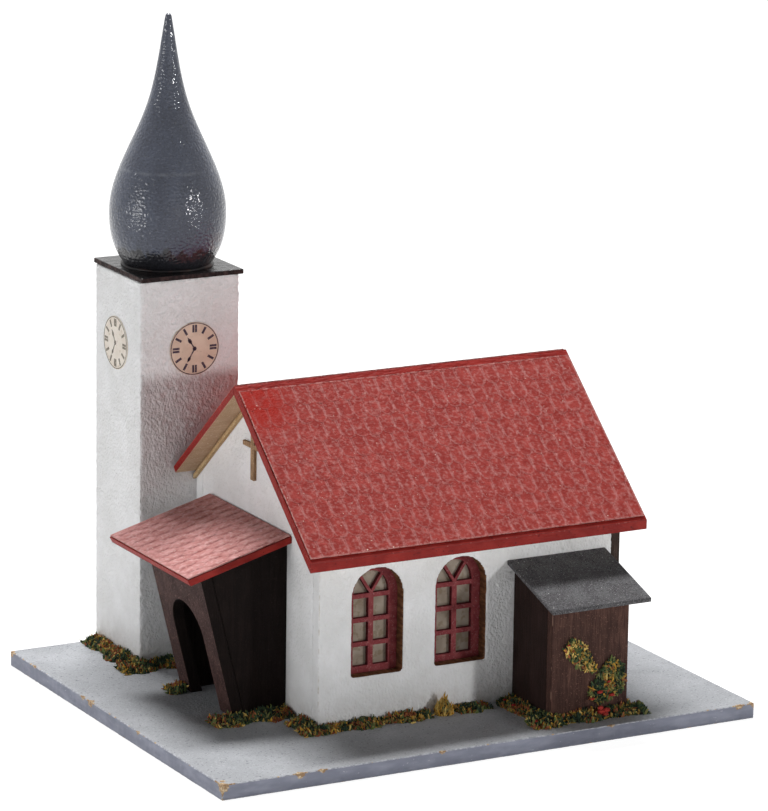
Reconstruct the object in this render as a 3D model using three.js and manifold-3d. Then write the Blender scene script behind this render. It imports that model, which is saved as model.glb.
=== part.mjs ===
// Wooden christmas village church: a nave with a steep tiled roof, a square tower with an onion dome,
// a leaning arched porch and a small shed, glued together on a thin board. Millimetres, +Z up.
// Plan axes while building: X from the board's west edge, Y from its front edge, Z from its underside.
import * as THREE from 'three';
import { mergeVertices } from 'three/addons/utils/BufferGeometryUtils.js';
import Module from 'manifold-3d';

const wasm = await Module();
wasm.setup();

// Base board
const baseLength = 200;
const baseDepth = 163.4;
const baseThickness = 5.3;
const baseEdgeBreak = 0.3;

// Boards, sheets and glue
const wallThickness = 4.8;
const thinBoard = 3.2;
const glueLine = 0.15;
const tileSheetThickness = 0.5;

// Nave
const naveX = 54.4;
const naveY = 38.6;
const naveLength = 111.3;
const naveWidth = 90.9;
const naveWallHeight = 65.1;

// Nave roof
const roofPitch = THREE.MathUtils.degToRad(40.2);
const roofBoard = 2.5;
const roofOverhangWest = 8.8;
const roofOverhangEast = 4.3;
const roofOverhangFront = 10.2;
const roofBackSetback = 0.3;
const tileCourse = 7.65;
const tileStep = 0.22;
const tileFirstEdge = 6.5;
const tileSheetInset = 0.7;
const tileSheetRidgeInset = 2.2;
const gableBattenSize = 1.3;

// Windows
const windowWidth = 19;
const windowSill = 15.7;
const windowHeight = 36.7;
const windowFirst = 12.4;
const windowPitch = 31.5;
const windowFrameThickness = 1.6;
const windowFrameLap = 2.4;
const paneWidth = 5.65;
const paneHeight = 6.7;
const paneRows = 3;
const windowMullion = 1.9;
const windowRail = 1.55;
const windowBottomRail = 2.2;
const fanRise = 7.6;
const fanBar = 1.0;
const fanAngle = THREE.MathUtils.degToRad(33);
const backingThickness = 0.6;

// Cross on the west gable
const crossY = 47.4;
const crossFoot = 73.5;
const crossHeight = 18;
const crossArmLength = 14;
const crossArmDrop = 5.6;
const crossStrip = 2.5;
const crossArmStrip = 1.6;
const crossThickness = 1.1;

// Tower
const towerX = 33.3;
const towerWidth = 37.2;
const towerDepth = 35.6;
const towerHeight = 133.8;
const towerWall = 4.8;
const capThickness = 1.7;
const capOverhangWest = 0.2;
const capOverhangEast = 1;
const capOverhangFront = 1.2;
const dialRadius = 9.2;
const dialThickness = 0.4;
const dialFrontFromWest = 20.1;
const dialWestFromFront = 19.1;
const dialHeight = 109.3;

// Onion dome, turned from one piece
const domeHeight = 86.2;
const domeFootRadius = 14.5;
const domeBellyRadius = 20;
const domeBellyHeight = 18.3;
const domeNeckRadius = 6.8;
const domeNeckHeight = 56.3;
const domeTipRadius = 1.1;
const domeFootFlare = 0.78;
const domeNeckTaper = 0.31;
const domeTipTaper = 0.18;

// Porch in the corner between tower and nave
const porchFromNaveFront = 22.9;
const porchWidth = 39.5;
const porchFootDepth = 19.5;
const porchLean = THREE.MathUtils.degToRad(14.1);
const porchFrontWall = 4;
const porchSideWall = 3.2;
const porchRoofWallHeight = 61.5;
const porchRoofPitch = THREE.MathUtils.degToRad(15.4);
const porchRoofReach = 38.2;
const porchRoofBoard = 2.4;
const porchRoofSouth = 3.3;
const porchRoofNorth = 17;
const porchRoofUndercut = 1.2;
const porchTileFirstEdge = 7.9;
const doorWidth = 21.6;
const doorHeight = 36.2;
const doorFromSouth = 9.6;

// Shed on the nave's front wall
const shedFromNaveWest = 73.6;
const shedLength = 29.5;
const shedDepth = 25.6;
const shedRoofWallHeight = 49.2;
const shedRoofPitch = THREE.MathUtils.degToRad(17.8);
const shedRoofBoard = 1.5;
const shedRoofReach = 30.6;
const shedRoofWest = 3;
const shedRoofEast = 5.6;

// Flock along the feet of the walls
const flockGap = 0.3;
const flockWidth = 9.5;
const flockHeight = 3;
const flockThinHeight = 2.2;
const flockBackWidth = 5.2;
const flockTowerFrontWidth = 13;
const flockTowerFrontLength = 21;
const flockPorchWidth = 12;
const flockPorchNorthWidth = 8;
const flockPorchSpill = 10;
const flockShedEastWidth = 5.2;
const flockShedEastLength = 7;
const flockSpill = 8.3;
const flockLump = 6.5;
const flockStep = 3;
const flockUneven = 0.18;
const flockBatter = 0.25;
const flockShoulder = 0.55;
const tuftFromNaveWest = 45.5;
const tuftRadius = 4.2;
const tuftHeight = 6.6;
const tuftSides = 12;
const climberThickness = 1.8;
const climberSides = 20;
const climberUneven = 0.08;
const climberLean = THREE.MathUtils.degToRad(42);
const climberUpperX = 10.7;
const climberUpperZ = 21.2;
const climberUpperWidth = 9;
const climberUpperHeight = 16;
const climberLowerX = 21;
const climberLowerZ = 11.6;
const climberLowerWidth = 10;
const climberLowerHeight = 17;

// How far a cutting solid runs past what it cuts
const past = 1;

// Heights and places that follow from the sizes above
const floorZ = baseThickness;
const wallTopZ = floorZ + naveWallHeight;
const naveBackY = naveY + naveWidth;
const naveEastX = naveX + naveLength;
const ridgeY = naveY + naveWidth / 2;
const eastBoardX = naveEastX + thinBoard;
const roofWestX = naveX - roofOverhangWest;
const roofEastX = eastBoardX + roofOverhangEast;
const roofLength = roofEastX - roofWestX;
const towerY = naveBackY;
const porchY = naveY + porchFromNaveFront;
const shedX = naveX + shedFromNaveWest;
const shedY = naveY - shedDepth;

const paint = (color, roughness) => new THREE.MeshStandardMaterial({ color, roughness, metalness: 0 });
const whiteWall = paint(0xe9e6e1, 0.85);
const redWood = paint(0x9c3a2e, 0.6);
const tilePaper = paint(0xb04a3e, 0.7);
const darkStain = paint(0x2e2320, 0.7);
const brownBoard = paint(0x3a2c27, 0.75);
const rawWood = paint(0xb39a78, 0.8);
const windowRed = paint(0x7c2f33, 0.6);
const windowPaper = paint(0x8a8272, 0.9);
const greyBoard = paint(0xa9adb3, 0.85);
const capPaint = paint(0x1f1d1d, 0.5);
const slatePaint = paint(0x3f4a55, 0.4);
const dialPaper = paint(0xcdb99b, 0.8);
const feltGrey = paint(0x4a4a4c, 0.95);
const flockGreen = paint(0x4c5526, 1);
const flockYellow = paint(0xb98a2a, 1);

const church = new THREE.Group();

function piece(name, geometry, material, x = 0, y = 0, z = 0, parent = church) {
  const mesh = new THREE.Mesh(geometry, material);
  mesh.name = name;
  mesh.position.set(x, y, z);
  parent.add(mesh);
  return mesh;
}

// Joins and cuts of closed solids
function solidOf(geometry) {
  const bare = geometry.clone();
  bare.deleteAttribute('normal');
  bare.deleteAttribute('uv');
  const merged = mergeVertices(bare);
  return new wasm.Manifold(new wasm.Mesh({
    numProp: 3,
    vertProperties: new Float32Array(merged.attributes.position.array),
    triVerts: new Uint32Array(merged.index.array),
  }));
}

function geometryOf(solid) {
  const mesh = solid.getMesh();
  const geometry = new THREE.BufferGeometry();
  geometry.setAttribute('position', new THREE.BufferAttribute(new Float32Array(mesh.vertProperties), 3));
  geometry.setIndex(new THREE.BufferAttribute(new Uint32Array(mesh.triVerts), 1));
  return geometry;
}

const cut = (geometry, ...tools) =>
  geometryOf(tools.reduce((solid, tool) => solid.subtract(solidOf(tool)), solidOf(geometry)));

// An outline of [a, b] corners as a shape
function outline(corners) {
  const shape = new THREE.Shape();
  corners.forEach(([a, b], i) => (i ? shape.lineTo(a, b) : shape.moveTo(a, b)));
  shape.closePath();
  return shape;
}

const rectangle = (width, height, x = 0, y = 0) =>
  outline([[x, y], [x + width, y], [x + width, y + height], [x, y + height]]);

// A round-headed opening that stands on its sill, centred on x
function archShape(width, height, x, y) {
  const arch = new THREE.Shape();
  arch.moveTo(x - width / 2, y);
  arch.lineTo(x + width / 2, y);
  arch.lineTo(x + width / 2, y + height - width / 2);
  arch.absarc(x, y + height - width / 2, width / 2, 0, Math.PI, false);
  arch.closePath();
  return arch;
}

const extrude = (shape, depth) =>
  new THREE.ExtrudeGeometry(shape, { depth, bevelEnabled: false, curveSegments: 16 });

// Outline in X and Z, thickness along +Y
const alongY = (shape, depth) => extrude(shape, depth).rotateX(Math.PI / 2).translate(0, depth, 0);

// A board with openings right through it
const pierced = (shape, openings, depth) =>
  cut(alongY(shape, depth), ...openings.map((hole) => alongY(hole, depth + 2 * past).translate(0, -past, 0)));

// Outline in Y and Z, thickness along +X
const towardsX = new THREE.Matrix4().makeBasis(
  new THREE.Vector3(0, 1, 0), new THREE.Vector3(0, 0, 1), new THREE.Vector3(1, 0, 0));
const alongX = (shape, depth) => extrude(shape, depth).applyMatrix4(towardsX);

// Base board with its edges broken by sanding
const baseShape = rectangle(baseLength - 2 * baseEdgeBreak, baseDepth - 2 * baseEdgeBreak, baseEdgeBreak,
  baseEdgeBreak);
piece('base_board', new THREE.ExtrudeGeometry(baseShape, {
  depth: baseThickness - 2 * baseEdgeBreak,
  bevelThickness: baseEdgeBreak,
  bevelSize: baseEdgeBreak,
  bevelSegments: 1,
}), greyBoard, 0, 0, baseEdgeBreak);

// Nave walls: front and back run the whole length, their tops bevelled to the roof's slope
const slopeRise = Math.tan(roofPitch);
const innerRise = wallThickness * slopeRise;
const frontCentres = [0, 1].map((bay) => windowFirst + windowWidth / 2 + bay * windowPitch);
const backCentres = frontCentres.map((x) => naveLength - x);

function longWall(centres, back) {
  const high = naveWallHeight + innerRise;
  const face = rectangle(naveLength, high);
  const openings = centres.map((x) => archShape(windowWidth, windowHeight, x, windowSill));
  const wedge = [
    [-past, naveWallHeight - past * slopeRise],
    [wallThickness, high],
    [wallThickness, high + past],
    [-past, high + past],
  ];
  const waste = alongX(outline(back ? wedge.map(([y, z]) => [wallThickness - y, z]).reverse() : wedge),
    naveLength + 2 * past);
  return cut(pierced(face, openings, wallThickness), waste.translate(-past, 0, 0));
}

const nave = new THREE.Group();
nave.position.set(naveX, naveY, floorZ);
church.add(nave);
piece('nave_front_wall', longWall(frontCentres, false), whiteWall, 0, 0, 0, nave);
piece('nave_back_wall', longWall(backCentres, true), whiteWall, 0, naveWidth - wallThickness, 0, nave);

// Gables: the white one fits between the long walls, the stained one closes their east ends
function gable(width, cornerHeight, thickness) {
  const peak = cornerHeight + (width / 2) * slopeRise;
  return alongX(outline([[0, 0], [width, 0], [width, cornerHeight], [width / 2, peak], [0, cornerHeight]]),
    thickness);
}

piece('nave_west_gable', gable(naveWidth - 2 * wallThickness, naveWallHeight + innerRise, wallThickness),
  whiteWall, 0, wallThickness, 0, nave);
piece('nave_east_gable', gable(naveWidth, naveWallHeight, thinBoard), brownBoard, naveLength, 0, 0, nave);

// Windows: a frame plate behind each opening, and a paper backing behind the frame
function windowFrame() {
  const lap = windowFrameLap;
  const plate = archShape(windowWidth + 2 * lap, windowHeight + 2 * lap, 0, -lap);
  const panes = [];
  for (let row = 0; row < paneRows; row += 1) {
    const z = windowBottomRail + row * (paneHeight + windowRail);
    for (const x of [-windowMullion / 2 - paneWidth, windowMullion / 2]) {
      panes.push(rectangle(paneWidth, paneHeight, x, z));
    }
  }
  return cut(pierced(plate, panes, windowFrameThickness), ...fanLights());
}

// Three fan lights over the top rail: a half oval, crossed by two bars that rise from the rail's middle
function fanLights() {
  const spring = windowBottomRail + paneRows * (paneHeight + windowRail);
  const reach = windowMullion / 2 + paneWidth;
  const halfOval = new THREE.Shape().absellipse(0, spring, reach, fanRise, 0, Math.PI, false);
  const bar = alongY(rectangle(fanBar, 2 * fanRise, -fanBar / 2, -past), windowFrameThickness + 4 * past);
  const bars = [-1, 1].map((side) => bar.clone().rotateY(side * fanAngle).translate(0, -2 * past, spring));
  return [cut(alongY(halfOval, windowFrameThickness + 2 * past).translate(0, -past, 0), ...bars)];
}

for (const [side, centres, y, dir] of [
  ['front', frontCentres, wallThickness, 1],
  ['back', backCentres, naveWidth - wallThickness - windowFrameThickness, -1],
]) {
  centres.forEach((x, i) => {
    const lap = windowFrameLap / 2;
    const backing = archShape(windowWidth + 2 * lap, windowHeight + 2 * lap, 0, -lap);
    piece(`window_frame_${side}_${i + 1}`, windowFrame(), windowRed, x, y, windowSill, nave);
    const backingY = dir > 0 ? y + windowFrameThickness : y - backingThickness;
    piece(`window_backing_${side}_${i + 1}`, alongY(backing, backingThickness), windowPaper,
      x, backingY, windowSill, nave);
  });
}

// Roof in section: a line parallel to the front slope, by its height above the wall's outer top corner
const plumb = (thickness) => thickness / Math.cos(roofPitch);
const roofUnder = plumb(glueLine);
const roofTop = roofUnder + plumb(roofBoard);
const slopeZ = (y, rise) => wallTopZ + rise + (ridgeY - naveY - Math.abs(y - ridgeY)) * slopeRise;
const eaveY = naveY - roofOverhangFront;
const backEaveY = towerY - roofBackSetback;

// The front board's eave is cut plumb, the back board's square to the board; they meet plumb at the ridge
function roofBoardFront() {
  return outline([
    [eaveY, slopeZ(eaveY, roofUnder)],
    [ridgeY, slopeZ(ridgeY, roofUnder)],
    [ridgeY, slopeZ(ridgeY, roofTop)],
    [eaveY, slopeZ(eaveY, roofTop)],
  ]);
}

function roofBoardBack() {
  const underY = backEaveY - roofBoard * Math.sin(roofPitch);
  return outline([
    [ridgeY, slopeZ(ridgeY, roofUnder)],
    [underY, slopeZ(underY, roofUnder)],
    [backEaveY, slopeZ(backEaveY, roofTop)],
    [ridgeY, slopeZ(ridgeY, roofTop)],
  ]);
}

piece('roof_board_front', alongX(roofBoardFront(), roofLength), redWood, roofWestX);
piece('roof_board_back', alongX(roofBoardBack(), roofLength), redWood, roofWestX);

// Embossed tile sheet in section, s up the slope and n square to it: a flat underside, and courses of tiles
// that each rise towards their lower edge and end there in a step
function tileSection(length, firstEdge) {
  const topAt = (run) => tileSheetThickness - (tileStep * run) / tileCourse;
  let edge = firstEdge + Math.floor((length - firstEdge) / tileCourse) * tileCourse;
  const corners = [[0, 0], [length, 0], [length, topAt(length - edge)]];
  for (; edge > 0; edge -= tileCourse) {
    corners.push([edge, topAt(0)], [edge, topAt(tileCourse)]);
  }
  corners.push([0, topAt(-edge)]);
  return corners;
}

function tileSheet(startY, endY) {
  const along = Math.sign(endY - startY);
  const length = Math.abs(endY - startY) / Math.cos(roofPitch);
  const base = roofTop + plumb(glueLine);
  const corners = tileSection(length, tileFirstEdge).map(([s, n]) => [
    startY + along * (s * Math.cos(roofPitch) - n * Math.sin(roofPitch)),
    slopeZ(startY, base) + s * Math.sin(roofPitch) + n * Math.cos(roofPitch),
  ]);
  if (along < 0) corners.reverse();
  return alongX(outline(corners), roofLength - 2 * tileSheetInset);
}

const ridgeInset = tileSheetRidgeInset * Math.cos(roofPitch);
const sheetReach = (tileSheetThickness + glueLine) * Math.sin(roofPitch);
piece('roof_tile_sheet_front', tileSheet(eaveY + tileSheetInset + sheetReach, ridgeY - ridgeInset),
  tilePaper, roofWestX + tileSheetInset);
piece('roof_tile_sheet_back', tileSheet(backEaveY - tileSheetInset, ridgeY + sheetReach),
  tilePaper, roofWestX + tileSheetInset);

// Battens that hide the joint between the west gable and the roof boards
function gableBatten(startY) {
  const under = roofUnder - plumb(glueLine);
  const drop = plumb(gableBattenSize);
  return outline([
    [startY, slopeZ(startY, under - drop)],
    [ridgeY, slopeZ(ridgeY, under - drop)],
    [ridgeY, slopeZ(ridgeY, under)],
    [startY, slopeZ(startY, under)],
  ]);
}

piece('gable_batten_front', alongX(gableBatten(naveY), gableBattenSize), rawWood, naveX - gableBattenSize);
piece('gable_batten_back', alongX(gableBatten(naveBackY - roofBackSetback), gableBattenSize), rawWood,
  naveX - gableBattenSize);

// Cross of two thin strips, the arm let into the upright
const cross = new THREE.Group();
cross.position.set(naveX - crossThickness, naveY + crossY, floorZ + crossFoot);
church.add(cross);
const armZ = crossHeight - crossArmDrop - crossArmStrip;
const notch = rectangle(crossStrip + 2 * past, crossArmStrip, -crossStrip / 2 - past, armZ);
piece('cross_upright', cut(alongX(rectangle(crossStrip, crossHeight, -crossStrip / 2, 0), crossThickness),
  alongX(notch, crossThickness / 2 + past).translate(-past, 0, 0)), rawWood, 0, 0, 0, cross);
const housing = rectangle(crossStrip + 2 * glueLine, crossArmStrip + 2 * past, -crossStrip / 2 - glueLine,
  armZ - past);
const arm = rectangle(crossArmLength, crossArmStrip, -crossArmLength / 2, armZ);
piece('cross_arm', cut(alongX(arm, crossThickness),
  alongX(housing, crossThickness).translate(crossThickness / 2, 0, 0)), rawWood, 0, 0, 0, cross);

// Tower: front and back boards full width, side boards between them, cap plate on top
const tower = new THREE.Group();
tower.position.set(towerX, towerY, floorZ);
church.add(tower);
const towerFace = rectangle(towerWidth, towerHeight);
const towerSide = rectangle(towerDepth - 2 * towerWall, towerHeight);
piece('tower_front_wall', alongY(towerFace, towerWall), whiteWall, 0, 0, 0, tower);
piece('tower_back_wall', alongY(towerFace, towerWall), whiteWall, 0, towerDepth - towerWall, 0, tower);
piece('tower_west_wall', alongX(towerSide, towerWall), whiteWall, 0, towerWall, 0, tower);
piece('tower_east_wall', alongX(towerSide, towerWall), whiteWall,
  towerWidth - towerWall, towerWall, 0, tower);
const capFace = rectangle(towerWidth + capOverhangWest + capOverhangEast, towerDepth + 2 * capOverhangFront);
piece('tower_cap', extrude(capFace, capThickness),
  capPaint, -capOverhangWest, -capOverhangFront, towerHeight, tower);

const dialFace = new THREE.CylinderGeometry(dialRadius, dialRadius, dialThickness, 48);
piece('clock_dial_front', dialFace, dialPaper, dialFrontFromWest, -dialThickness / 2, dialHeight, tower);
piece('clock_dial_west', dialFace.clone().rotateZ(Math.PI / 2), dialPaper,
  -dialThickness / 2, dialWestFromFront, dialHeight, tower);

// Dome: a flared foot, a full belly, and a long hollow-sided spire that ends in a blunt tip. Each station has
// a radius, a height, and how much the radius grows with height there
function domeProfile() {
  const stations = [
    [domeFootRadius, 0, domeFootFlare],
    [domeBellyRadius, domeBellyHeight, 0],
    [domeNeckRadius, domeNeckHeight, -domeNeckTaper],
    [domeTipRadius, domeHeight - domeTipRadius, -domeTipTaper],
  ];
  const profile = new THREE.Path().moveTo(0, 0).lineTo(domeFootRadius, 0);
  for (let i = 1; i < stations.length; i += 1) {
    const [startRadius, startZ, startGrowth] = stations[i - 1];
    const [endRadius, endZ, endGrowth] = stations[i];
    const reach = (endZ - startZ) / 3;
    profile.bezierCurveTo(startRadius + startGrowth * reach, startZ + reach,
      endRadius - endGrowth * reach, endZ - reach, endRadius, endZ);
  }
  profile.quadraticCurveTo(domeTipRadius, domeHeight, 0, domeHeight);
  return profile.getPoints(9);
}

const dome = new THREE.LatheGeometry(domeProfile(), 48).rotateX(Math.PI / 2);
piece('onion_dome', dome, slatePaint,
  towerWidth / 2, towerDepth / 2, towerHeight + capThickness, tower);

// Porch, in section across the nave's gable: x runs west from the gable face, z up from the base board
const porch = new THREE.Group();
porch.position.set(naveX, porchY, floorZ);
church.add(porch);
const porchRise = Math.tan(porchRoofPitch);
const leanRun = Math.tan(porchLean);
const porchPlumb = (thickness) => thickness / Math.cos(porchRoofPitch);
const porchSkin = porchPlumb(porchRoofBoard + glueLine + tileSheetThickness);
const porchUnderAt = (x) => porchRoofWallHeight - porchSkin + x * porchRise;

// Where a line that leans from its foot meets the roof board's underside, less the glue
function porchHead(footX) {
  const z = (porchUnderAt(footX) - porchPlumb(glueLine)) / (1 + leanRun * porchRise);
  return [footX - z * leanRun, z];
}

const frontFoot = -porchFootDepth;
const backFoot = frontFoot + porchFrontWall / Math.cos(porchLean);
const sideFoot = backFoot + glueLine;
const frontSection = outline([[frontFoot, 0], [backFoot, 0], porchHead(backFoot), porchHead(frontFoot)]);
const doorway = alongX(archShape(doorWidth, doorHeight + past, doorFromSouth + doorWidth / 2, -past),
  2 * porchFootDepth).translate(-2 * porchFootDepth, 0, 0);
piece('porch_front_wall', cut(alongY(frontSection, porchWidth), doorway), darkStain, 0, 0, 0, porch);

const sideSection = outline([
  [sideFoot, 0], [0, 0], [0, porchUnderAt(0) - porchPlumb(glueLine)], porchHead(sideFoot),
]);
piece('porch_south_wall', alongY(sideSection, porchSideWall), darkStain, 0, 0, 0, porch);
piece('porch_north_wall', alongY(sideSection, porchSideWall), darkStain,
  0, porchWidth - porchSideWall, 0, porch);

// Porch roof board with a raked lower edge, and its tile sheet
const porchRoofWidth = porchWidth + porchRoofSouth + porchRoofNorth;
const porchTopAt = (x) => porchUnderAt(x) + porchPlumb(porchRoofBoard);
const porchEdge = -porchRoofReach;
piece('porch_roof_board', alongY(outline([
  [porchEdge + porchRoofUndercut, porchUnderAt(porchEdge + porchRoofUndercut)],
  [0, porchUnderAt(0)],
  [0, porchTopAt(0)],
  [porchEdge, porchTopAt(porchEdge)],
]), porchRoofWidth), redWood, 0, -porchRoofSouth, 0, porch);

function porchTileSheet() {
  const reach = porchRoofReach / Math.cos(porchRoofPitch) - tileSheetInset;
  const startX = porchEdge + tileSheetInset / 2;
  const startZ = porchTopAt(startX) + porchPlumb(glueLine);
  return outline(tileSection(reach, porchTileFirstEdge).map(([s, n]) => [
    startX + s * Math.cos(porchRoofPitch) - n * Math.sin(porchRoofPitch),
    startZ + s * Math.sin(porchRoofPitch) + n * Math.cos(porchRoofPitch),
  ]));
}

piece('porch_tile_sheet', alongY(porchTileSheet(), porchRoofWidth - tileSheetInset), tilePaper,
  0, -porchRoofSouth + tileSheetInset / 2, 0, porch);

// Shed, in section across the nave's front wall: y runs forward from the wall face
const shed = new THREE.Group();
shed.position.set(shedX, shedY, floorZ);
church.add(shed);
const shedRise = Math.tan(shedRoofPitch);
const shedPlumb = (thickness) => thickness / Math.cos(shedRoofPitch);
const shedUnderAt = (y) => shedRoofWallHeight - shedPlumb(shedRoofBoard) - (shedDepth - y) * shedRise;
const shedWallAt = (y) => shedUnderAt(y) - shedPlumb(glueLine);
piece('shed_front_wall', alongX(outline([
  [0, 0], [thinBoard, 0], [thinBoard, shedWallAt(thinBoard)], [0, shedWallAt(0)],
]), shedLength), darkStain, 0, 0, 0, shed);
const shedSide = outline([
  [thinBoard, 0], [shedDepth, 0], [shedDepth, shedWallAt(shedDepth)], [thinBoard, shedWallAt(thinBoard)],
]);
piece('shed_west_wall', alongX(shedSide, thinBoard), darkStain, 0, 0, 0, shed);
piece('shed_east_wall', alongX(shedSide, thinBoard), darkStain, shedLength - thinBoard, 0, 0, shed);
const shedEdge = shedDepth - shedRoofReach;
piece('shed_roof', alongX(outline([
  [shedEdge, shedUnderAt(shedEdge)],
  [shedDepth, shedUnderAt(shedDepth)],
  [shedDepth, shedUnderAt(shedDepth) + shedPlumb(shedRoofBoard)],
  [shedEdge, shedUnderAt(shedEdge) + shedPlumb(shedRoofBoard)],
]), shedLength + shedRoofWest + shedRoofEast), feltGrey, -shedRoofWest, 0, 0, shed);

// Flock: a lumpy strip glued to the board along the foot of a wall, higher against the wall. It starts at the
// origin and runs along +X, with the wall behind it; turn gives the way the wall faces, in quarter turns
function flockStrip(name, length, width, height, turn, x, y) {
  const steps = Math.max(3, Math.round(length / flockStep));
  const strip = new THREE.BoxGeometry(length, width, height, steps, 3, 2)
    .translate(length / 2, -width / 2, height / 2);
  const at = strip.attributes.position;
  for (let i = 0; i < at.count; i += 1) {
    const along = (2 * Math.PI * at.getX(i)) / flockLump;
    const lump = 1 - flockUneven * (1 - Math.sin(along) * Math.cos(0.65 * along));
    const out = at.getY(i) / width;
    const up = at.getZ(i) / height;
    at.setY(i, at.getY(i) * lump * (1 - flockBatter * up));
    at.setZ(i, at.getZ(i) * lump * (1 - flockShoulder * out * out));
  }
  piece(name, strip.rotateZ((turn * Math.PI) / 2), flockGreen, x, y, floorZ);
}

const [facingFront, facingEast, facingBack, facingWest] = [0, 1, 2, 3];
const outOf = flockWidth + flockGap;
const tuftX = naveX + tuftFromNaveWest;
const tuftRoom = tuftRadius + flockGap;
const doorstepX = naveX - porchFootDepth - flockGap - flockHeight * leanRun;
const shedEastX = shedX + shedLength + flockGap;
flockStrip('flock_tower_west', baseDepth - towerY - flockGap, flockWidth, flockHeight, facingWest,
  towerX - flockGap, baseDepth - flockGap);
flockStrip('flock_tower_front', flockTowerFrontLength, flockTowerFrontWidth, flockHeight, facingFront,
  towerX - outOf, towerY - flockGap);
flockStrip('flock_porch_north', porchWidth - doorFromSouth - doorWidth, flockPorchNorthWidth, flockHeight,
  facingWest, doorstepX, porchY + porchWidth);
flockStrip('flock_porch_south', porchFootDepth + flockPorchSpill, flockPorchWidth, flockHeight, facingFront,
  naveX - porchFootDepth - flockPorchSpill - flockGap, porchY - flockGap);
flockStrip('flock_gable', porchFromNaveFront - flockPorchWidth - 2 * flockGap, flockWidth, flockHeight,
  facingWest, naveX - flockGap, porchY - flockPorchWidth - 2 * flockGap);
flockStrip('flock_nave_front', tuftX - tuftRoom - naveX + flockSpill, flockWidth, flockThinHeight,
  facingFront, naveX - flockSpill, naveY - flockGap);
flockStrip('flock_nave_front_east', shedX - outOf - flockGap - tuftX - tuftRoom, flockWidth,
  flockThinHeight, facingFront, tuftX + tuftRoom, naveY - flockGap);
flockStrip('flock_shed_west', shedDepth - flockGap, flockWidth, flockHeight, facingWest,
  shedX - flockGap, naveY - flockGap);
flockStrip('flock_shed_front', shedLength + outOf + flockShedEastWidth, flockWidth, flockHeight, facingFront,
  shedX - outOf, shedY - flockGap);
flockStrip('flock_shed_east', flockShedEastLength, flockShedEastWidth, flockHeight, facingEast,
  shedEastX, shedY);
flockStrip('flock_nave_back', eastBoardX - towerX - towerWidth - flockGap, flockBackWidth, flockThinHeight,
  facingBack, eastBoardX, naveBackY + flockGap);
flockStrip('flock_nave_east', naveWidth, flockBackWidth, flockThinHeight, facingEast,
  eastBoardX + flockGap, naveY);

// A tall tuft of flock against the nave's front wall, between two strips
const tuftProfile = new THREE.Path().moveTo(0, 0).lineTo(tuftRadius, 0)
  .quadraticCurveTo(tuftRadius, tuftHeight / 2, 0, tuftHeight);
piece('flock_tuft', new THREE.LatheGeometry(tuftProfile.getPoints(5), tuftSides).rotateX(Math.PI / 2),
  flockYellow, tuftX, naveY - tuftRoom, floorZ);

// Climbing flock on the shed's front: a leaning patch with an uneven rim, pressed on the board
function climberRim(width, height) {
  return Array.from({ length: climberSides }, (_, i) => {
    const angle = (2 * Math.PI * i) / climberSides;
    const reach = (1 + climberUneven * Math.sin(3 * angle) + climberUneven * Math.cos(5 * angle)) / 2;
    return [width * reach * Math.cos(angle), height * reach * Math.sin(angle)];
  });
}

function climber(name, material, width, height, x, z, lean) {
  const patch = alongY(outline(climberRim(width, height)), climberThickness).rotateY(lean);
  piece(name, patch, material, shedX + x, shedY - climberThickness - flockGap, floorZ + z);
}

climber('climber_upper', flockYellow, climberUpperWidth, climberUpperHeight, climberUpperX, climberUpperZ,
  -climberLean);
climber('climber_lower', flockGreen, climberLowerWidth, climberLowerHeight, climberLowerX, climberLowerZ,
  climberLean);

// The origin is the middle of the church's footprint, on the board's underside
const part = new THREE.Group();
part.add(church);
part.updateMatrixWorld(true);
const footprint = new THREE.Box3().setFromObject(church).getCenter(new THREE.Vector3());
church.position.set(-footprint.x, -footprint.y, 0);

export default part;
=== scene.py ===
import math

import bpy
from mathutils import Matrix, Vector


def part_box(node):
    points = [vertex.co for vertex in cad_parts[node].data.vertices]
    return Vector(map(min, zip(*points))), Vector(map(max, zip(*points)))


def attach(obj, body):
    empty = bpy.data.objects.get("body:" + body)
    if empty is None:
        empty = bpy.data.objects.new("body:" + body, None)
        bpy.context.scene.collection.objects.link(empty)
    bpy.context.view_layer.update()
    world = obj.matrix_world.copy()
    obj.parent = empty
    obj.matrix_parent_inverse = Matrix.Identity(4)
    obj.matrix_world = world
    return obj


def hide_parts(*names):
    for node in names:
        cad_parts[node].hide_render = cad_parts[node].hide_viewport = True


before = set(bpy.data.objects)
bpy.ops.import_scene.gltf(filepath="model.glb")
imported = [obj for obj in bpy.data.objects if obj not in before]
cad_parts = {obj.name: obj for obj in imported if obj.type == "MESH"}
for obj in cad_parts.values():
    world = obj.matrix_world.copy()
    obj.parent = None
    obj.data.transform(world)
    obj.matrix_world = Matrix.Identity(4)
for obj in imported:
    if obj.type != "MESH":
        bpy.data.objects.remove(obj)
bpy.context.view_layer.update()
scene = bpy.context.scene
scene.view_settings.view_transform = "Standard"

# Camera
# A long lens looks at the church from its front left corner, a little above it, tilted under one degree.
camera_aim = Vector((0.05936, 0.10463, 0.0705))
camera_turn = math.radians(-28.69)
camera_height_angle = math.radians(13.80)
camera_tilt = math.radians(0.87)
camera_distance = 1.726
camera_data = bpy.data.cameras.new("camera")
camera_data.sensor_fit = "VERTICAL"
camera_data.sensor_height = 36
camera_data.lens = 211.4
camera_data.dof.use_dof = False
camera = bpy.data.objects.new("camera", camera_data)
scene.collection.objects.link(camera)
camera.matrix_world = (
    Matrix.Translation(camera_aim)
    @ Matrix.Rotation(camera_turn, 4, "Z")
    @ Matrix.Rotation(math.pi / 2 - camera_height_angle, 4, "X")
    @ Matrix.Rotation(camera_tilt, 4, "Z")
    @ Matrix.Translation((0, 0, camera_distance))
)
scene.camera = camera

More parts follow.
